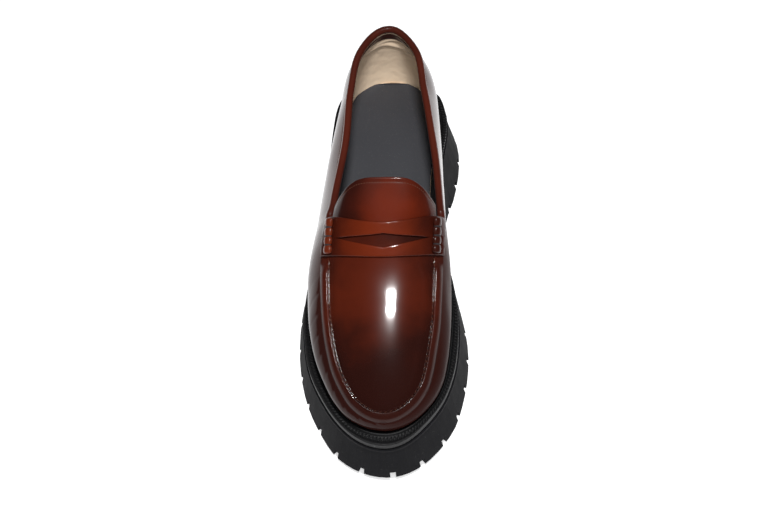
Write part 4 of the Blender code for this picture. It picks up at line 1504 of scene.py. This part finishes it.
@dataclass(frozen=True)
class Upper:
    """The hollow leather upper: its wall, the sewn seam round the apron, the apron and the lining."""

    last: Last
    leather: float = 0.0012
    seam_width: float = 0.0054
    seam_height: float = 0.0028
    seam_start: float = 0.0030
    seam_outer: float = 0.05
    seam_inner: float = 0.92
    pucker: float = 0.008
    seam_fade: float = 0.0090
    rear_columns: int = 110
    front_columns: int = 230
    stitch_pitch: float = 3.2 * MM
    pleat_pitch: float = 11.5 * MM
    pleat_depth: float = 0.15 * MM
    fold_start: tuple[float, float] = (0.0265, 0.1930)
    fold_end: tuple[float, float] = (0.0305, 0.2040)
    collar_stitch_depth: float = 3.0 * MM
    collar_stitch_end: float = 0.1580
    facing_end: float = 0.1618
    facing_thick: float = 0.8 * MM
    lining_end: float = 0.2050
    grip_end: float = 0.0480
    grip_thick: float = 0.4 * MM
    wrinkle_depth: float = 1.1 * MM
    flex_depth: float = 0.50 * MM
    counter_depth: float = 0.35 * MM
    fold_width: float = 1.3 * MM
    fold_height: float = 0.35 * MM

    @cached_property
    def turns(self) -> Array:
        """Turns of the columns on one side, from the heel to the toe.

        Returns:
            The turns.
        """
        split = float(self.last.top.turn(np.array(self.last.throat_side)))
        rear = np.linspace(0.0, split, self.rear_columns + 1)
        dense = np.linspace(split, pi, 2000)
        along = travelled(self.last.top.plan(dense))
        front = np.interp(np.linspace(0.0, along[-1], self.front_columns + 1), along, dense)
        return np.concatenate([rear, front[1:]])

    @cached_property
    def angles(self) -> Array:
        """Angles of the columns all round."""
        return np.concatenate([self.turns, (2.0 * pi - self.turns[1:-1])[::-1]])

    def seam_distance(self, angle: Array) -> Array:
        """The distance along the seam from the toe, lateral side negative.

        Args:
            angle: Angles round the shoe.

        Returns:
            The distances.
        """
        dense = np.linspace(0.0, 2.0 * pi, 4001)
        along = travelled(self.last.top.plan(dense))
        return np.interp(angle, dense, along) - np.interp(pi, dense, along)

    def seam_share(self, angle: Array) -> Array:
        """The seam's height share: it starts in front of the strap.

        Args:
            angle: Angles round the shoe.

        Returns:
            The shares.
        """
        station = self.last.station_of(self.last.top.plan(angle))
        start = self.last.strap_front + self.seam_start
        return smooth_step(start, start + self.seam_fade, station)

    def pleats(self, angle: Array, level: Array) -> Array:
        """Gathers below the seam round the toe, slanting back and dying out down the wall.

        Args:
            angle: Angles round the shoe.
            level: Levels of the wall.

        Returns:
            How far the gathers stand out.
        """
        distance = self.seam_distance(angle)
        slanted = np.abs(distance) / self.pleat_pitch + 0.6 * (2.0 - level) + 0.5
        away = np.abs(slanted - np.round(slanted)) * self.pleat_pitch
        folds = 0.45 - np.exp(-(away / (1.5 * MM)) ** 2)
        height = smooth_step(1.0, 1.8, level) * (1.0 - smooth_step(1.90, 2.0, level))
        round_toe = smooth_step(0.0, 25.0 * MM, 118.0 * MM - np.abs(distance))
        side = np.where(distance < 0.0, 0.12, 1.0)
        return self.pleat_depth * folds * height * round_toe * side * self.seam_share(angle)

    def wall_folds(self, angle: Array, level: Array) -> Array:
        """Soft unevenness of the walls: a flex hollow at each side of the ball and a heel seat.

        Args:
            angle: Angles round the shoe.
            level: Levels of the wall.

        Returns:
            How far the wall stands out.
        """
        station = self.last.station_of(self.last.top.plan(angle))
        flex = bump(0.205, 0.018, station) * bump(1.35, 0.5, level)
        counter = bump(0.075, 0.030, station) * bump(1.2, 0.7, level)
        return -self.flex_depth * flex - self.counter_depth * counter

    def outer_wall(self) -> Array:
        """Rows of the wall's outer face, from under the welt to the top line.

        Returns:
            The rows.
        """
        levels = np.concatenate([[-1.0, -0.5], np.linspace(0.0, 1.0, 15), np.linspace(1.0, 2.0, 29)[1:]])
        angle, level = np.meshgrid(self.angles, levels)
        fade = smooth_step(0.0, 0.25, level)
        lift = self.pleats(angle, level) + self.wall_folds(angle, level) * fade
        lift = lift * (1.0 - smooth_step(1.97, 2.0, level))
        return self.last.on_wall(angle, level, lift)

    def seam_rows(self, angle: Array, height: float) -> Array:
        """Rows across the seam, from its outer edge to the stitched groove.

        Args:
            angle: Angles round the shoe.
            height: The share of the seam's height that it has.

        Returns:
            The rows.
        """
        across = np.concatenate([[0.0, 0.015, 0.03, 0.055, 0.09, 0.13], np.linspace(0.18, 1.0, 16)])
        angle, across = np.meshgrid(angle, across)
        plan = self.last.top.inset(angle, self.seam_width * across)
        base = self.last.instep(plan[..., 0], self.last.station_of(plan))
        distance = self.seam_distance(angle)
        gather = np.cos(2.0 * pi * distance / self.stitch_pitch)
        outer = self.pucker * gather * smooth_step(0.0, 0.1, across) * (1.0 - smooth_step(0.2, 0.6, across))
        inner = self.pucker * gather * bump(0.86, 0.2, across)
        share = SEAM_SECTION(across) + outer + inner - 0.10 * bump(1.0, 0.06, across)
        base[..., 2] += self.seam_height * height * share * self.seam_share(angle)
        return base

    def apron_rows(self, seam: Array, height: float) -> Array:
        """Rows across the apron between the two ends of the seam's rows.

        Args:
            seam: The seam's rows.
            height: The share of the relief that it has.

        Returns:
            The rows.
        """
        first = self.rear_columns
        last = len(self.turns) - 1
        split = self.turns[first]
        shares = np.concatenate([[0.0, 0.006, 0.013, 0.022], np.linspace(0.035, 0.965, 60),
                                 [0.978, 0.987, 0.994, 1.0]])
        rows = []
        for column in range(first, last + 1):
            medial = seam[-1, column - first]
            lateral = seam[-1, seam.shape[1] - 1 - (column - first)]
            forward = (self.turns[column] - split) / (pi - split)
            bow = self.last.throat_bow * (1.0 - forward) ** 1.5
            plan = medial[None, :2] + (lateral - medial)[None, :2] * shares[:, None]
            station = self.last.station_of(plan) + bow * (1.0 - (2.0 * shares - 1.0) ** 2)
            points = self.last.instep(plan[:, 0], station)
            points[:, 2] += height * self.apron_relief(plan[:, 0], station, shares, medial, lateral)
            rows.append(points)
        return np.array(rows)

    def apron_relief(
        self, x: Array, station: Array, shares: Array, medial: Array, lateral: Array
    ) -> Array:
        """Soft relief of the apron: the pull of the stitches at its edge and a fold by the strap.

        Args:
            x: Places across the shoe.
            station: Stations along it.
            shares: Shares across the apron, from the medial seam to the lateral one.
            medial: The row's medial end.
            lateral: The row's lateral end.

        Returns:
            How far each point rises.
        """
        width = float(np.linalg.norm(lateral[:2] - medial[:2]))
        edge = np.minimum(shares, 1.0 - shares) * width
        swell = 0.30 * MM * bump(4.5 * MM, 3.5 * MM, edge) * smooth_step(0.035, 0.055, width)
        (x_start, s_start), (x_end, s_end) = self.fold_start, self.fold_end
        along = np.hypot(x_end - x_start, s_end - s_start)
        run = ((x - x_start) * (x_end - x_start) + (station - s_start) * (s_end - s_start)) / along
        aside = ((x - x_start) * (s_end - s_start) - (station - s_start) * (x_end - x_start)) / along
        fold = bump(0.5, 0.75, run / along) * np.exp(-(aside / self.fold_width) ** 2)
        return swell + self.fold_height * fold

    def inner_point(self, points: Array, angle: Array, level: Array, depth: float) -> Array:
        """Wall points at a depth inside its smooth outer face.

        Args:
            points: The wall's outer points.
            angle: Angles round the shoe.
            level: Levels of the wall.
            depth: The depth.

        Returns:
            The points.
        """
        inner = self.last.on_wall(angle, level, np.full(angle.shape, -depth))
        return np.where((level[..., None] >= 2.0) | (level[..., None] < 0.0),
                        np.concatenate([inner[..., :2], points[..., 2:]], axis=-1), inner)

    def round_heel(self, row: Array) -> Array:
        """The stretch of a row of points that runs round the heel."""
        return np.concatenate([row[len(row) - self.rear_columns:], row[:self.rear_columns + 1]])

    def shell(self) -> bpy.types.Object:
        """The leather shell: wall, seam and apron, with their inner face.

        Returns:
            The shell.
        """
        maker = MeshMaker()
        outer = self.outer_wall()
        maker.grid(outer, around=True)
        levels = np.concatenate([[-1.0], np.linspace(0.0, 2.0, 22)])
        angle, level = np.meshgrid(self.angles, levels)
        smooth = self.last.wall(angle, level)
        inner = self.inner_point(smooth, angle, level, self.leather)
        maker.grid(inner, around=True)
        maker.grid(np.stack([outer[0], inner[0]]), around=True)
        front = slice(self.rear_columns, len(self.angles) - self.rear_columns + 1)
        seam = self.seam_rows(self.angles[front], 1.0)
        seam[0] = outer[-1, front]
        apron = self.apron_rows(seam, 1.0)
        maker.grid(seam)
        maker.grid(apron)
        flat_seam = self.seam_rows(self.angles[front], 0.0)
        under_seam = self.sunk(flat_seam)
        under_seam[0] = inner[-1, front]
        under_apron = self.sunk(self.apron_rows(flat_seam, 0.0))
        under_apron[:, 0] = under_seam[-1, :under_apron.shape[0]]
        under_apron[:, -1] = under_seam[-1, ::-1][:under_apron.shape[0]]
        maker.grid(under_seam)
        maker.grid(under_apron)
        maker.grid(np.stack([self.round_heel(outer[-1]), self.round_heel(inner[-1])]))
        for end in (0, -1):
            maker.grid(np.stack([seam[:, end], under_seam[:, end]]))
        maker.grid(np.stack([apron[0], under_apron[0]]))
        return maker.build("upper_shell", 60.0)

    def zone(self, centre: Vector) -> Zone:
        """Find the part of the shell that a face belongs to.

        Args:
            centre: The face's middle.

        Returns:
            The wall, the seam or the apron inside it.
        """
        station = self.last.length / 2.0 - centre.y
        low = float(self.last.top_height(np.array(station))) - self.last.upper_wall
        if not self.last.throat_side < station < self.last.top.front or centre.z <= low:
            return Zone.WALL
        side = np.array(Side.MEDIAL if centre.x > self.last.axis else Side.LATERAL)
        half = float(self.last.top.half(self.last.top.turn(np.array(station)), side))
        inside = min(half - abs(centre.x - self.last.axis), self.last.top.front - station)
        if inside <= self.seam_outer * self.seam_width:
            return Zone.WALL
        return Zone.SEAM if inside <= self.seam_inner * self.seam_width else Zone.APRON

    def sunk(self, points: Array) -> Array:
        """Instep points moved in by the leather's thickness."""
        station = self.last.station_of(points)
        return lifted(self.last.instep, points[..., 0], station, np.full(station.shape, -self.leather), MM)

    def lining(self, name: str, end_station: float, thick: float, folded: bool) -> bpy.types.Object:
        """A lining round the inside of the heel and along both sides.

        Args:
            name: The piece's name.
            end_station: Where its front edges are.
            thick: How far it stands in from the wall's inner face.
            folded: Whether it has the wrinkles under the collar at the back.

        Returns:
            The lining.
        """
        end = float(self.last.top.turn(np.array(end_station)))
        angle = np.linspace(-end, end, 240)
        levels = np.linspace(0.0, 2.0, 60)
        angles, level = np.meshgrid(angle, levels)
        outer = self.last.on_wall(angles, level, np.full(angles.shape, -self.leather - 0.1 * MM))
        relief = self.wrinkles(angles, level) if folded else 0.0
        depth = np.full(angles.shape, self.last.upper_wall + thick) + relief
        inner = self.last.on_wall(angles, level, -depth)
        top = self.last.wall(angles[-1], level[-1])
        outer[-1, :, 2] = top[:, 2]
        inner[-1, :, 2] = top[:, 2]
        maker = MeshMaker()
        maker.slab(outer, inner)
        return maker.build(name, 60.0)

    def wrinkles(self, angle: Array, level: Array) -> Array:
        """How far the lining's folds stand in at the back of the heel.

        Args:
            angle: Angles round the shoe.
            level: Levels of the wall.

        Returns:
            The depth of the folds.
        """
        around = np.abs(angle)
        back = 1.0 - smooth_step(0.35, 0.75, around)
        drift = 0.035 * np.sin(5.0 * angle + 0.6) + 0.02 * np.sin(13.0 * angle)
        folds = 0.9 * bump(1.60, 0.10, level + drift)
        folds = folds + 0.5 * bump(1.74, 0.06, level - 0.6 * drift)
        folds = folds + 0.35 * bump(1.44, 0.07, level + 1.6 * drift) * smooth_step(-0.1, 0.3, angle)
        return self.wrinkle_depth * back * folds

    def facing(self) -> bpy.types.Object:
        """The inner lip of the collar's binding, turned down over the lining.

        Returns:
            The facing.
        """
        end = float(self.last.top.turn(np.array(self.facing_end)))
        angle = np.linspace(-end, end, 220)
        depth = np.array([0.0, 0.3, 1.0, 2.5, 4.0, 5.2, 5.8, 6.0]) * MM
        angles, depths = np.meshgrid(angle, depth)
        level = self.last.level_below_top(angles, depths)
        thick = np.minimum(self.facing_thick, 0.15 * MM + (depth[-1] - depths) * 1.2)
        outer = self.last.on_wall(angles, level, np.full(angles.shape, -self.last.upper_wall - 0.02 * MM))
        inner = self.last.on_wall(angles, level, -self.last.upper_wall - thick)
        maker = MeshMaker()
        maker.slab(outer, inner)
        return maker.build("collar_facing", 60.0)

    def seam_stitches(self) -> bpy.types.Object:
        """The hand-sewn stitches in the groove round the apron.

        Returns:
            The stitches.
        """
        thread = Thread(length=1.9 * MM, gap=self.stitch_pitch - 1.9 * MM, radius=0.24 * MM, slant=0.3)
        start = self.last.strap_front + self.seam_start
        end = float(self.last.top.turn(np.array(start)))
        angle = np.linspace(end, 2.0 * pi - end, 800)
        inside = 1.01 * self.seam_width
        points = self.last.top.inset(angle, np.full_like(angle, inside))
        at = evenly(points, angle, self.stitch_pitch)
        plan = self.last.top.inset(at, np.full_like(at, inside))
        station = self.last.station_of(plan)
        low = self.last.instep(plan[:, 0], station)
        high = lifted(self.last.instep, plan[:, 0], station, np.full(len(at), MM), MM)
        up = (high - low) / MM
        along, _ = frames_of(low, up)
        maker = MeshMaker()
        thread.add(maker, low + up * 0.1 * MM, along, up)
        return maker.build("apron_stitches")

    def collar_stitches(self) -> bpy.types.Object:
        """The row of stitches on the wall below the collar's binding.

        Returns:
            The stitches.
        """
        thread = Thread(length=1.35 * MM, gap=0.35 * MM, radius=0.20 * MM)
        end = float(self.last.top.turn(np.array(self.collar_stitch_end)))
        angle = np.linspace(-end, end, 900)
        depth = np.full_like(angle, self.collar_stitch_depth)
        points = self.last.on_wall(angle, self.last.level_below_top(angle, depth), np.zeros_like(angle))
        at = evenly(points, angle, thread.pitch)
        level = self.last.level_below_top(at, np.full_like(at, self.collar_stitch_depth))
        low = self.last.on_wall(at, level, np.zeros_like(at))
        high = self.last.on_wall(at, level, np.full_like(at, MM))
        up = (high - low) / MM
        along, _ = frames_of(low, up)
        maker = MeshMaker()
        thread.add(maker, low + up * 0.06 * MM, along, up)
        return maker.build("collar_stitches")

    def make(self, shop: Workshop) -> None:
        """Build and dress the upper's pieces.

        Args:
            shop: What finishes the pieces.
        """
        shell = shop.finish(self.shell(), "wall_leather", "upper_leather", ("upper",))
        for finish in ("seam_leather", "apron_leather"):
            shell.data.materials.append(shop.materials[finish])
        for face in shell.data.polygons:
            face.material_index = self.zone(face.center)
        sides = self.lining("side_lining", self.lining_end, 0.0, False)
        grip = self.lining("heel_grip", self.grip_end, self.grip_thick, True)
        shop.finish(sides, "side_leather", "sock_leather")
        shop.finish(grip, "lining_suede", "sock_leather")
        shop.finish(self.facing(), "facing_leather", "binding_leather")
        shop.finish(self.seam_stitches(), "brown_thread", "upper_leather")
        shop.finish(self.collar_stitches(), "brown_thread", "upper_leather")


@dataclass(frozen=True)
class Collar:
    """The rolled binding on the collar's edge, in metres."""

    last: Last
    width: float = 0.0050
    height: float = 0.0050
    dive_start: float = 0.1585
    dive: float = 0.0036
    end: float = 0.1655

    def binding(self) -> bpy.types.Object:
        """The rolled bead, with faint puckers where it turns round the heel.

        Returns:
            The bead.
        """
        end = float(self.last.top.turn(np.array(self.end)))
        angle = np.linspace(-end, end, 420)
        plan = self.last.top.inset(angle, np.full_like(angle, self.last.upper_wall / 2.0))
        edge = self.last.top.plan(angle)
        base = self.last.top_height(self.last.station_of(edge)) + self.last.gap
        dive = self.dive * smooth_step(self.dive_start, self.end, self.last.station_of(edge))
        path = np.column_stack([plan, base + self.height / 2.0 - dive])
        inward = self.last.top.inward(angle)
        across = np.column_stack([inward, np.zeros(len(angle))])
        up = np.tile([0.0, 0.0, 1.0], (len(angle), 1))
        distance = travelled(path)
        pucker = 1.0 + 0.012 * np.sin(2.0 * pi * distance / (4.3 * MM)) + 0.02 * np.sin(distance * 95.0)
        near_end = np.minimum(distance, distance[-1] - distance)
        cap = np.sqrt(np.clip(1.0 - (1.0 - near_end / (1.2 * MM)).clip(0.0, 1.0) ** 2, 0.04, 1.0))
        maker = MeshMaker()
        maker.grid(tube(path, across, up, cap * pucker * self.width / 2.0,
                        cap * pucker * self.height / 2.0, 28), around=True, ends=True)
        return maker.build("collar_bead")

    def make(self, shop: Workshop) -> None:
        """Build and dress the binding."""
        shop.finish(self.binding(), "binding_leather", "binding_leather", ("collar_binding",))


@dataclass(frozen=True)
class Footbed:
    """The footbed inside the upper and the sock that covers it, in metres."""

    last: Last
    sock_thick: float = 0.0012
    sock_back: float = 0.0030
    sock_gap: float = 0.00005
    edge_rise: float = 0.0012

    @staticmethod
    def middle(ring: Array) -> Array:
        """The middle line between the two sides of a ring."""
        return (ring + ring[(-np.arange(len(ring))) % len(ring)]) / 2.0

    def surface(self, inset: float, shares: Array, thick: float) -> Array:
        """Rings of the footbed's top, from its edge to its middle line.

        Args:
            inset: The edge's distance inside the foot line.
            shares: Shares of the way to the middle line.
            thick: The height over the footbed.

        Returns:
            The rings.
        """
        angle = np.linspace(0.0, 2.0 * pi, 241)[:-1]
        edge = self.last.foot.inset(angle, np.full_like(angle, inset))
        rows = []
        for share in shares:
            plan = edge + (self.middle(edge) - edge) * share
            station = self.last.station_of(plan)
            cup = self.edge_rise * (1.0 - smooth_step(0.0, 0.5, np.full_like(station, share)))
            z = self.last.footbed(station) - self.sock_thick - self.edge_rise + cup + thick
            rows.append(np.column_stack([plan, z]))
        return np.array(rows)

    def base(self) -> bpy.types.Object:
        """The footbed below the sock.

        Returns:
            The footbed.
        """
        inset = self.last.upper_wall + self.last.gap + 0.2 * MM
        rings = self.surface(inset, np.linspace(0.0, 1.0, 14), 0.0)
        low = rings[0].copy()
        low[:, 2] = self.last.sole_top(self.last.station_of(low)) + self.last.gap
        maker = MeshMaker()
        maker.grid(np.concatenate([low[None], rings]), around=True)
        maker.grid(np.stack([low, self.middle(low)]), around=True)
        return maker.build("footbed_base")

    def sock(self) -> bpy.types.Object:
        """The leather sock, whose rear edge stops just short of the heel's lining.

        Returns:
            The sock.
        """
        inset = self.last.upper_wall + self.last.gap + 0.3 * MM
        shares = np.concatenate([[0.0, 0.006, 0.016, 0.03], np.linspace(0.06, 1.0, 22)])
        rings = self.surface(inset, shares, self.sock_gap)
        station = self.last.station_of(rings)
        start = self.last.foot.back + inset + self.sock_back
        pulled = np.maximum(start + 0.35 * (station - start) - station, 0.0)
        pulled = pulled * (station < start)
        rings[..., 1] -= pulled
        top = rings.copy()
        rounding = np.array([0.5, 0.2, 0.05, 0.0] + [0.0] * (len(rings) - 4)) * MM
        top[..., 2] += self.sock_thick - rounding[:, None]
        maker = MeshMaker()
        maker.grid(top, around=True)
        maker.grid(rings, around=True)
        maker.grid(np.stack([top[0], rings[0]]), around=True)
        return maker.build("sock")

    def make(self, shop: Workshop) -> None:
        """Build and dress the footbed's pieces."""
        shop.finish(self.base(), "lining_suede", "sock_leather", ("insole",))
        shop.finish(self.sock(), "sock_leather", "sock_leather")


@dataclass(frozen=True)
class Bottom:
    """The welt and the moulded unit sole, in metres."""

    last: Last
    welt_set: float = 0.0010
    stitch_pitch: float = 0.0024
    columns: int = 720

    @cached_property
    def angles(self) -> Array:
        """Angles all round, even along the rim.

        Returns:
            The angles.
        """
        dense = np.linspace(0.0, 2.0 * pi, 6001)
        along = travelled(self.last.rim.plan(dense))
        return np.interp(np.linspace(0.0, along[-1], self.columns + 1)[:-1], along, dense)

    def welt_place(self, share: Array, height: Array) -> Array:
        """Points across the welt, from its outer edge at 0 to the upper at 1.

        Args:
            share: Shares of the welt's width.
            height: Heights over its flat top.

        Returns:
            The points.
        """
        angle = np.broadcast_to(self.angles, share.shape)
        outer = self.last.rim.inset(angle, np.full(share.shape, self.welt_set))
        inner = self.last.foot.inset(angle, np.full(share.shape, -self.last.gap))
        plan = outer + (inner - outer) * share[..., None]
        z = self.last.welt_top(self.last.station_of(plan)) + height
        return np.concatenate([plan, z[..., None]], axis=-1)

    def welt(self) -> bpy.types.Object:
        """The storm welt with its rib along the upper and the channel that the stitches lie in.

        Returns:
            The welt.
        """
        under = -self.last.welt_thick
        shares = np.array([0.0] + [row.share for row in WELT_SECTION] + [1.0])
        rises = np.array([under] + [row.rise * MM for row in WELT_SECTION] + [under])
        share = np.repeat(shares[:, None], self.columns, axis=1)
        height = np.repeat(rises[:, None], self.columns, axis=1)
        rings = self.welt_place(share, height)
        maker = MeshMaker()
        maker.grid(np.concatenate([rings, rings[:1]]), around=True)
        return maker.build("storm_welt", 60.0)

    def welt_stitches(self) -> bpy.types.Object:
        """The moulded stitches that lie side by side in the welt's channel.

        Returns:
            The stitches.
        """
        thread = Thread(length=4.2 * MM, radius=0.62 * MM, sink=0.42 * MM, slant=1.15, rings=6, sides=7)
        share = np.full((1, self.columns), 0.42)
        line = self.welt_place(share, np.full((1, self.columns), -0.1 * MM))[0]
        closed = np.concatenate([line, line[:1]])
        along = travelled(closed)
        count = round(along[-1] / self.stitch_pitch)
        wanted = np.arange(count) * along[-1] / count
        centres = np.stack([np.interp(wanted, along, closed[:, k]) for k in range(3)], axis=-1)
        ahead = np.roll(centres, -1, axis=0) - np.roll(centres, 1, axis=0)
        ahead = ahead / np.linalg.norm(ahead, axis=-1, keepdims=True)
        up = np.tile([0.0, 0.0, 1.0], (count, 1))
        maker = MeshMaker()
        thread.add(maker, centres, ahead, up)
        return maker.build("welt_stitches")

    def make(self, shop: Workshop) -> None:
        """Build and dress the welt, and dress the sole.

        Args:
            shop: What finishes the pieces.
        """
        shop.finish(self.welt(), "welt_rubber", "welt_rubber", ("welt",))
        shop.finish(self.welt_stitches(), "welt_rubber", "welt_rubber")
        shop.finish(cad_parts["outsole"], "sole_rubber", "sole_rubber")


@dataclass(frozen=True)
class Studio:
    """The floor, the lights and the camera, in metres and degrees."""

    place: Point = (0.05448, -0.51974, 0.82244)
    tilt: float = 56.763
    heading: float = 0.6875
    pan: float = 3.636
    focal_pixels: float = 1400.4
    image_width: float = 768.0
    sensor: float = 36.0
    floor_size: float = 8.0
    key_place: Point = (0.095, -0.195, 1.274)
    key_width: float = 0.21
    key_depth: float = 0.016
    key_power: float = 12.0
    fill_place: Point = (0.20, -0.78, 1.05)
    fill_width: float = 0.80
    fill_tilt: float = 35.0
    fill_power: float = 5.4
    floor_glow: float = 0.55
    sky: float = 0.03

    def camera(self) -> bpy.types.Object:
        """The camera, at the photograph's angle to the shoe, panned to put the shoe in the middle.

        Returns:
            The camera.
        """
        data = bpy.data.cameras.new("camera")
        data.sensor_width = self.sensor
        data.lens = self.sensor * self.focal_pixels / self.image_width
        data.clip_start = 0.01
        item = bpy.data.objects.new("camera", data)
        bpy.context.scene.collection.objects.link(item)
        turn = Matrix.Rotation(radians(-self.heading), 4, "Z")
        tip = Matrix.Rotation(radians(90.0 - self.tilt), 4, "X")
        pan = Matrix.Rotation(radians(self.pan), 4, "Y")
        item.matrix_world = Matrix.Translation(self.place) @ turn @ tip @ pan
        bpy.context.scene.camera = item
        return item

    def floor(self) -> bpy.types.Object:
        """A plain pale floor.

        Returns:
            The floor.
        """
        half = self.floor_size / 2.0
        mesh = bpy.data.meshes.new("floor")
        corners = [(-half, -half, 0.0), (half, -half, 0.0), (half, half, 0.0), (-half, half, 0.0)]
        mesh.from_pydata(corners, [], [(0, 1, 2, 3)])
        item = bpy.data.objects.new("floor", mesh)
        item.location.z = -0.1 * MM
        bpy.context.scene.collection.objects.link(item)
        material = bpy.data.materials.new("pale_floor")
        material.use_nodes = True
        shader = material.node_tree.nodes["Principled BSDF"]
        shader.inputs["Base Color"].default_value = (0.86, 0.86, 0.87, 1.0)
        shader.inputs["Roughness"].default_value = 0.9
        shader.inputs["Specular IOR Level"].default_value = 0.1
        shader.inputs["Emission Color"].default_value = (1.0, 1.0, 1.0, 1.0)
        shader.inputs["Emission Strength"].default_value = self.floor_glow
        mesh.materials.append(material)
        return item

    def light(self, name: str, place: Point, width: float, depth: float, power: float) -> bpy.types.Object:
        """Hang an oval soft light over the shoe.

        Args:
            name: The light's name.
            place: Where it hangs.
            width: Its size across the shoe.
            depth: Its size along the shoe.
            power: Its power in watts.

        Returns:
            The light.
        """
        data = bpy.data.lights.new(name, "AREA")
        data.shape = "ELLIPSE"
        data.size = width
        data.size_y = depth
        data.energy = power
        item = bpy.data.objects.new(name, data)
        item.location = place
        bpy.context.scene.collection.objects.link(item)
        return item

    def make(self) -> None:
        """Set up the floor, the lights and the camera."""
        self.camera()
        self.floor()
        self.light("key", self.key_place, self.key_width, self.key_depth, self.key_power)
        fill = self.light("fill", self.fill_place, self.fill_width, self.fill_width, self.fill_power)
        fill.rotation_euler.x = radians(self.fill_tilt)
        fill.visible_glossy = False
        world = bpy.data.worlds.new("studio")
        world.use_nodes = True
        world.node_tree.nodes["Background"].inputs["Color"].default_value = (1.0, 1.0, 1.0, 1.0)
        world.node_tree.nodes["Background"].inputs["Strength"].default_value = self.sky
        bpy.context.scene.world = world
        bpy.context.scene.view_settings.view_transform = "Standard"


def main() -> None:
    """Build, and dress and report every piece."""
    logging.basicConfig(level=logging.INFO, format="%(message)s")
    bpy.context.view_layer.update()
    last = Last()
    shop = Workshop()
    Studio().make()
    for part in (Upper(last), Collar(last), Saddle(last), Footbed(last), Bottom(last)):
        LOG.info("building %s", type(part).__name__)
        part.make(shop)


if __name__ == "__main__":
    main()
